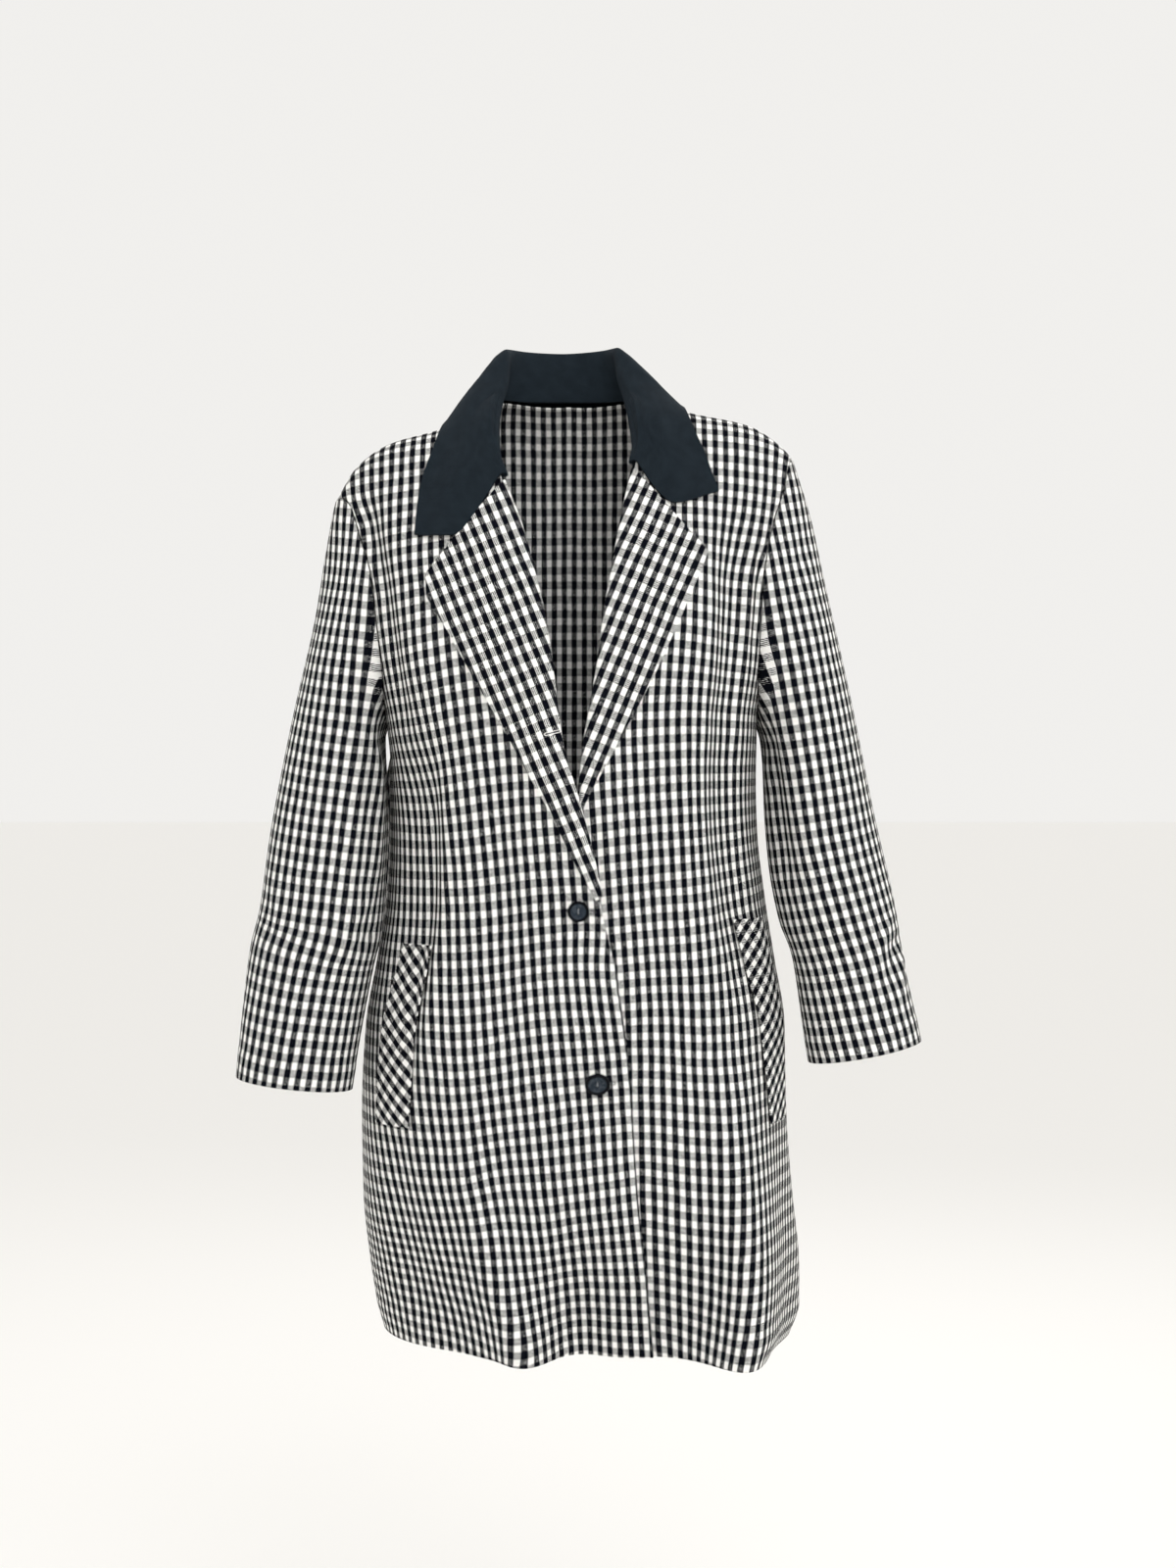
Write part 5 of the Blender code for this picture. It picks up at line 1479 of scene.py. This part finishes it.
def turned(radius):
    """A button lying flat, its back at the origin, with its two holes drilled."""
    fine = np.linspace(0, BUTTON_OUTLINE["at"][-1], 46)
    out, up = read(BUTTON_OUTLINE, "out", fine) * radius, read(BUTTON_OUTLINE, "up", fine) * BUTTON_THICK
    blank = bmesh.new()
    verts = [blank.verts.new((r, 0, z)) for r, z in zip(out, up)]
    edges = [blank.edges.new(pair) for pair in zip(verts, verts[1:])]
    turn = {"cent": (0, 0, 0), "axis": (0, 0, 1), "angle": math.tau, "steps": 72}
    bmesh.ops.spin(blank, geom=verts + edges, use_merge=True, **turn)
    bmesh.ops.remove_doubles(blank, verts=blank.verts[:], dist=1e-6)
    bmesh.ops.recalc_face_normals(blank, faces=blank.faces[:])
    outward = blank.loops.layers.uv.new(CLOTH_UV)
    for loop in (loop for face in blank.faces for loop in face.loops):
        spot = loop.vert.co
        loop[outward].uv = (math.hypot(spot.x, spot.y) / radius, spot.z / BUTTON_THICK)
    drill = bmesh.new()
    for way in (-1, 1):
        place = Matrix.Translation((way * HOLE_FROM_MIDDLE, 0, 0))
        size = {"radius1": HOLE_RADIUS, "radius2": HOLE_RADIUS, "depth": 4 * BUTTON_THICK}
        bmesh.ops.create_cone(drill, cap_ends=True, segments=24, matrix=place, **size)
    piece, drills = add("blank", blank, slate), add("drills", drill, slate)
    holes = piece.modifiers.new("Holes", "BOOLEAN")
    holes.object = drills
    bpy.context.view_layer.update()
    mesh = baked(piece)
    bpy.data.objects.remove(piece)
    bpy.data.objects.remove(drills)
    return mesh


def stitches(lift):
    """The threads between the two holes, and the shank that they make under the button."""
    face = BUTTON_THICK * 0.58
    strands = []
    for offset in (-0.9, -0.3, 0.3, 0.9):
        turn = np.linspace(0, math.pi, 13)
        x, z = HOLE_FROM_MIDDLE * np.cos(turn), face * 0.7 + (face * 0.3 + 2.2 * STITCH) * np.sin(turn) ** 0.6
        points = np.stack([x, np.full_like(x, 1.5 * offset * STITCH), z], axis=-1)
        strands.append(cord(points, np.full(len(x), STITCH), False))
    deep = np.linspace(face * 0.7, -lift, 9)
    twist = np.stack([np.zeros_like(deep), np.zeros_like(deep), deep], axis=-1)
    strands.append(cord(twist, np.full(len(deep), 4 * STITCH), False))
    return strands


for name, x, height, radius, lean, lift in zip(("upper", "lower"), *BUTTONS.values()):
    down = float(down_at(x, height))
    seat = lifted(RIGHT, float(turn_at(x, down)), down, lift)
    ahead = Vector(seat - front(RIGHT, float(turn_at(x, down)), down)).normalized()
    facing = Matrix.Rotation(math.radians(lean), 4, "X") @ ahead.to_track_quat("Z", "X").to_matrix().to_4x4()
    place = Matrix.Translation(Vector(seat)) @ facing
    fit(placed(f"button_{name}_turned", [turned(radius)], place, slate), "slate_button", f"button_{name}")
    fit(placed(f"thread_{name}", stitches(lift - CLOTH / 2), place, slate_thread), None)

# %% Buttonholes
# Middle of the slit, its length and its slope across the front, in degrees down to the left front.
BUTTONHOLES = table(
    "x       height   long   slope",
    (0.0125, -0.4660, 0.026, 4.0),
    (0.0300, -0.6186, 0.026, 1.0),
)
# The same for the unused one on the roll of the lapel, and how far it lies out from the front's cloth.
LAPEL_HOLE = (-0.0128, -0.3085, 0.014, -14.0, 0.0047)
SLIT_HALF = 0.0011
PURL = 0.00052  # radius of the stitched edge
PURL_STEP = 0.00042  # from one stitch to the next


def slit(x, height, long, slope, lift):
    """A worked buttonhole that lies on the right front."""
    straight = long / 2 - SLIT_HALF
    run = np.arange(0, 4 * straight + math.tau * SLIT_HALF, PURL_STEP / 2)
    half_turn = math.pi * SLIT_HALF
    side = run % (2 * straight + half_turn)
    turning = np.clip((side - 2 * straight) / half_turn, 0, 1) * math.pi
    along = straight - np.minimum(side, 2 * straight) - SLIT_HALF * np.sin(turning)
    up = SLIT_HALF * np.cos(turning)
    flip = np.where(run >= 2 * straight + half_turn, -1, 1)
    lean = math.radians(slope)
    xs = x + flip * (along * math.cos(lean) + up * math.sin(lean))
    zs = height + flip * (up * math.cos(lean) - along * math.sin(lean))
    down = down_at(xs, zs)
    points = lifted(RIGHT, turn_at(xs, down), down, np.full_like(xs, lift))
    radii = np.where(np.arange(len(run)) % 2 == 0, PURL, 0.72 * PURL)
    return cord(points, radii, True)


worked = [slit(*sizes, CLOTH / 2 + PURL * 0.4) for sizes in zip(*BUTTONHOLES.values())]
fit(placed("buttonholes", worked, Matrix.Identity(4), dark_thread), None)
fit(placed("lapel_buttonhole", [slit(*LAPEL_HOLE)], Matrix.Identity(4), cream_thread), None)
# A dark cord down the middle of the lapel's slit is painted shade. It stands for the shadow in the slit's gap and uses
# the dark thread's material.
x, height, long, slope, lift = LAPEL_HOLE
across = np.linspace(-0.42, 0.42, 12) * long
xs, zs = x + across * math.cos(math.radians(slope)), height - across * math.sin(math.radians(slope))
slit_shade_line = lifted(RIGHT, turn_at(xs, down_at(xs, zs)), down_at(xs, zs), np.full_like(xs, lift))
fit(placed("lapel_slit_painted_shade", [cord(slit_shade_line, np.full(len(xs), PURL), False)], Matrix.Identity(4), dark_thread), None)

# %% [markdown]
# ## The cut
#
# Every cloth piece is also laid out as a flat sheet, which is its UV map.

# %% [markdown]
# ## Finish

# %% Finish
print("the coat is built")
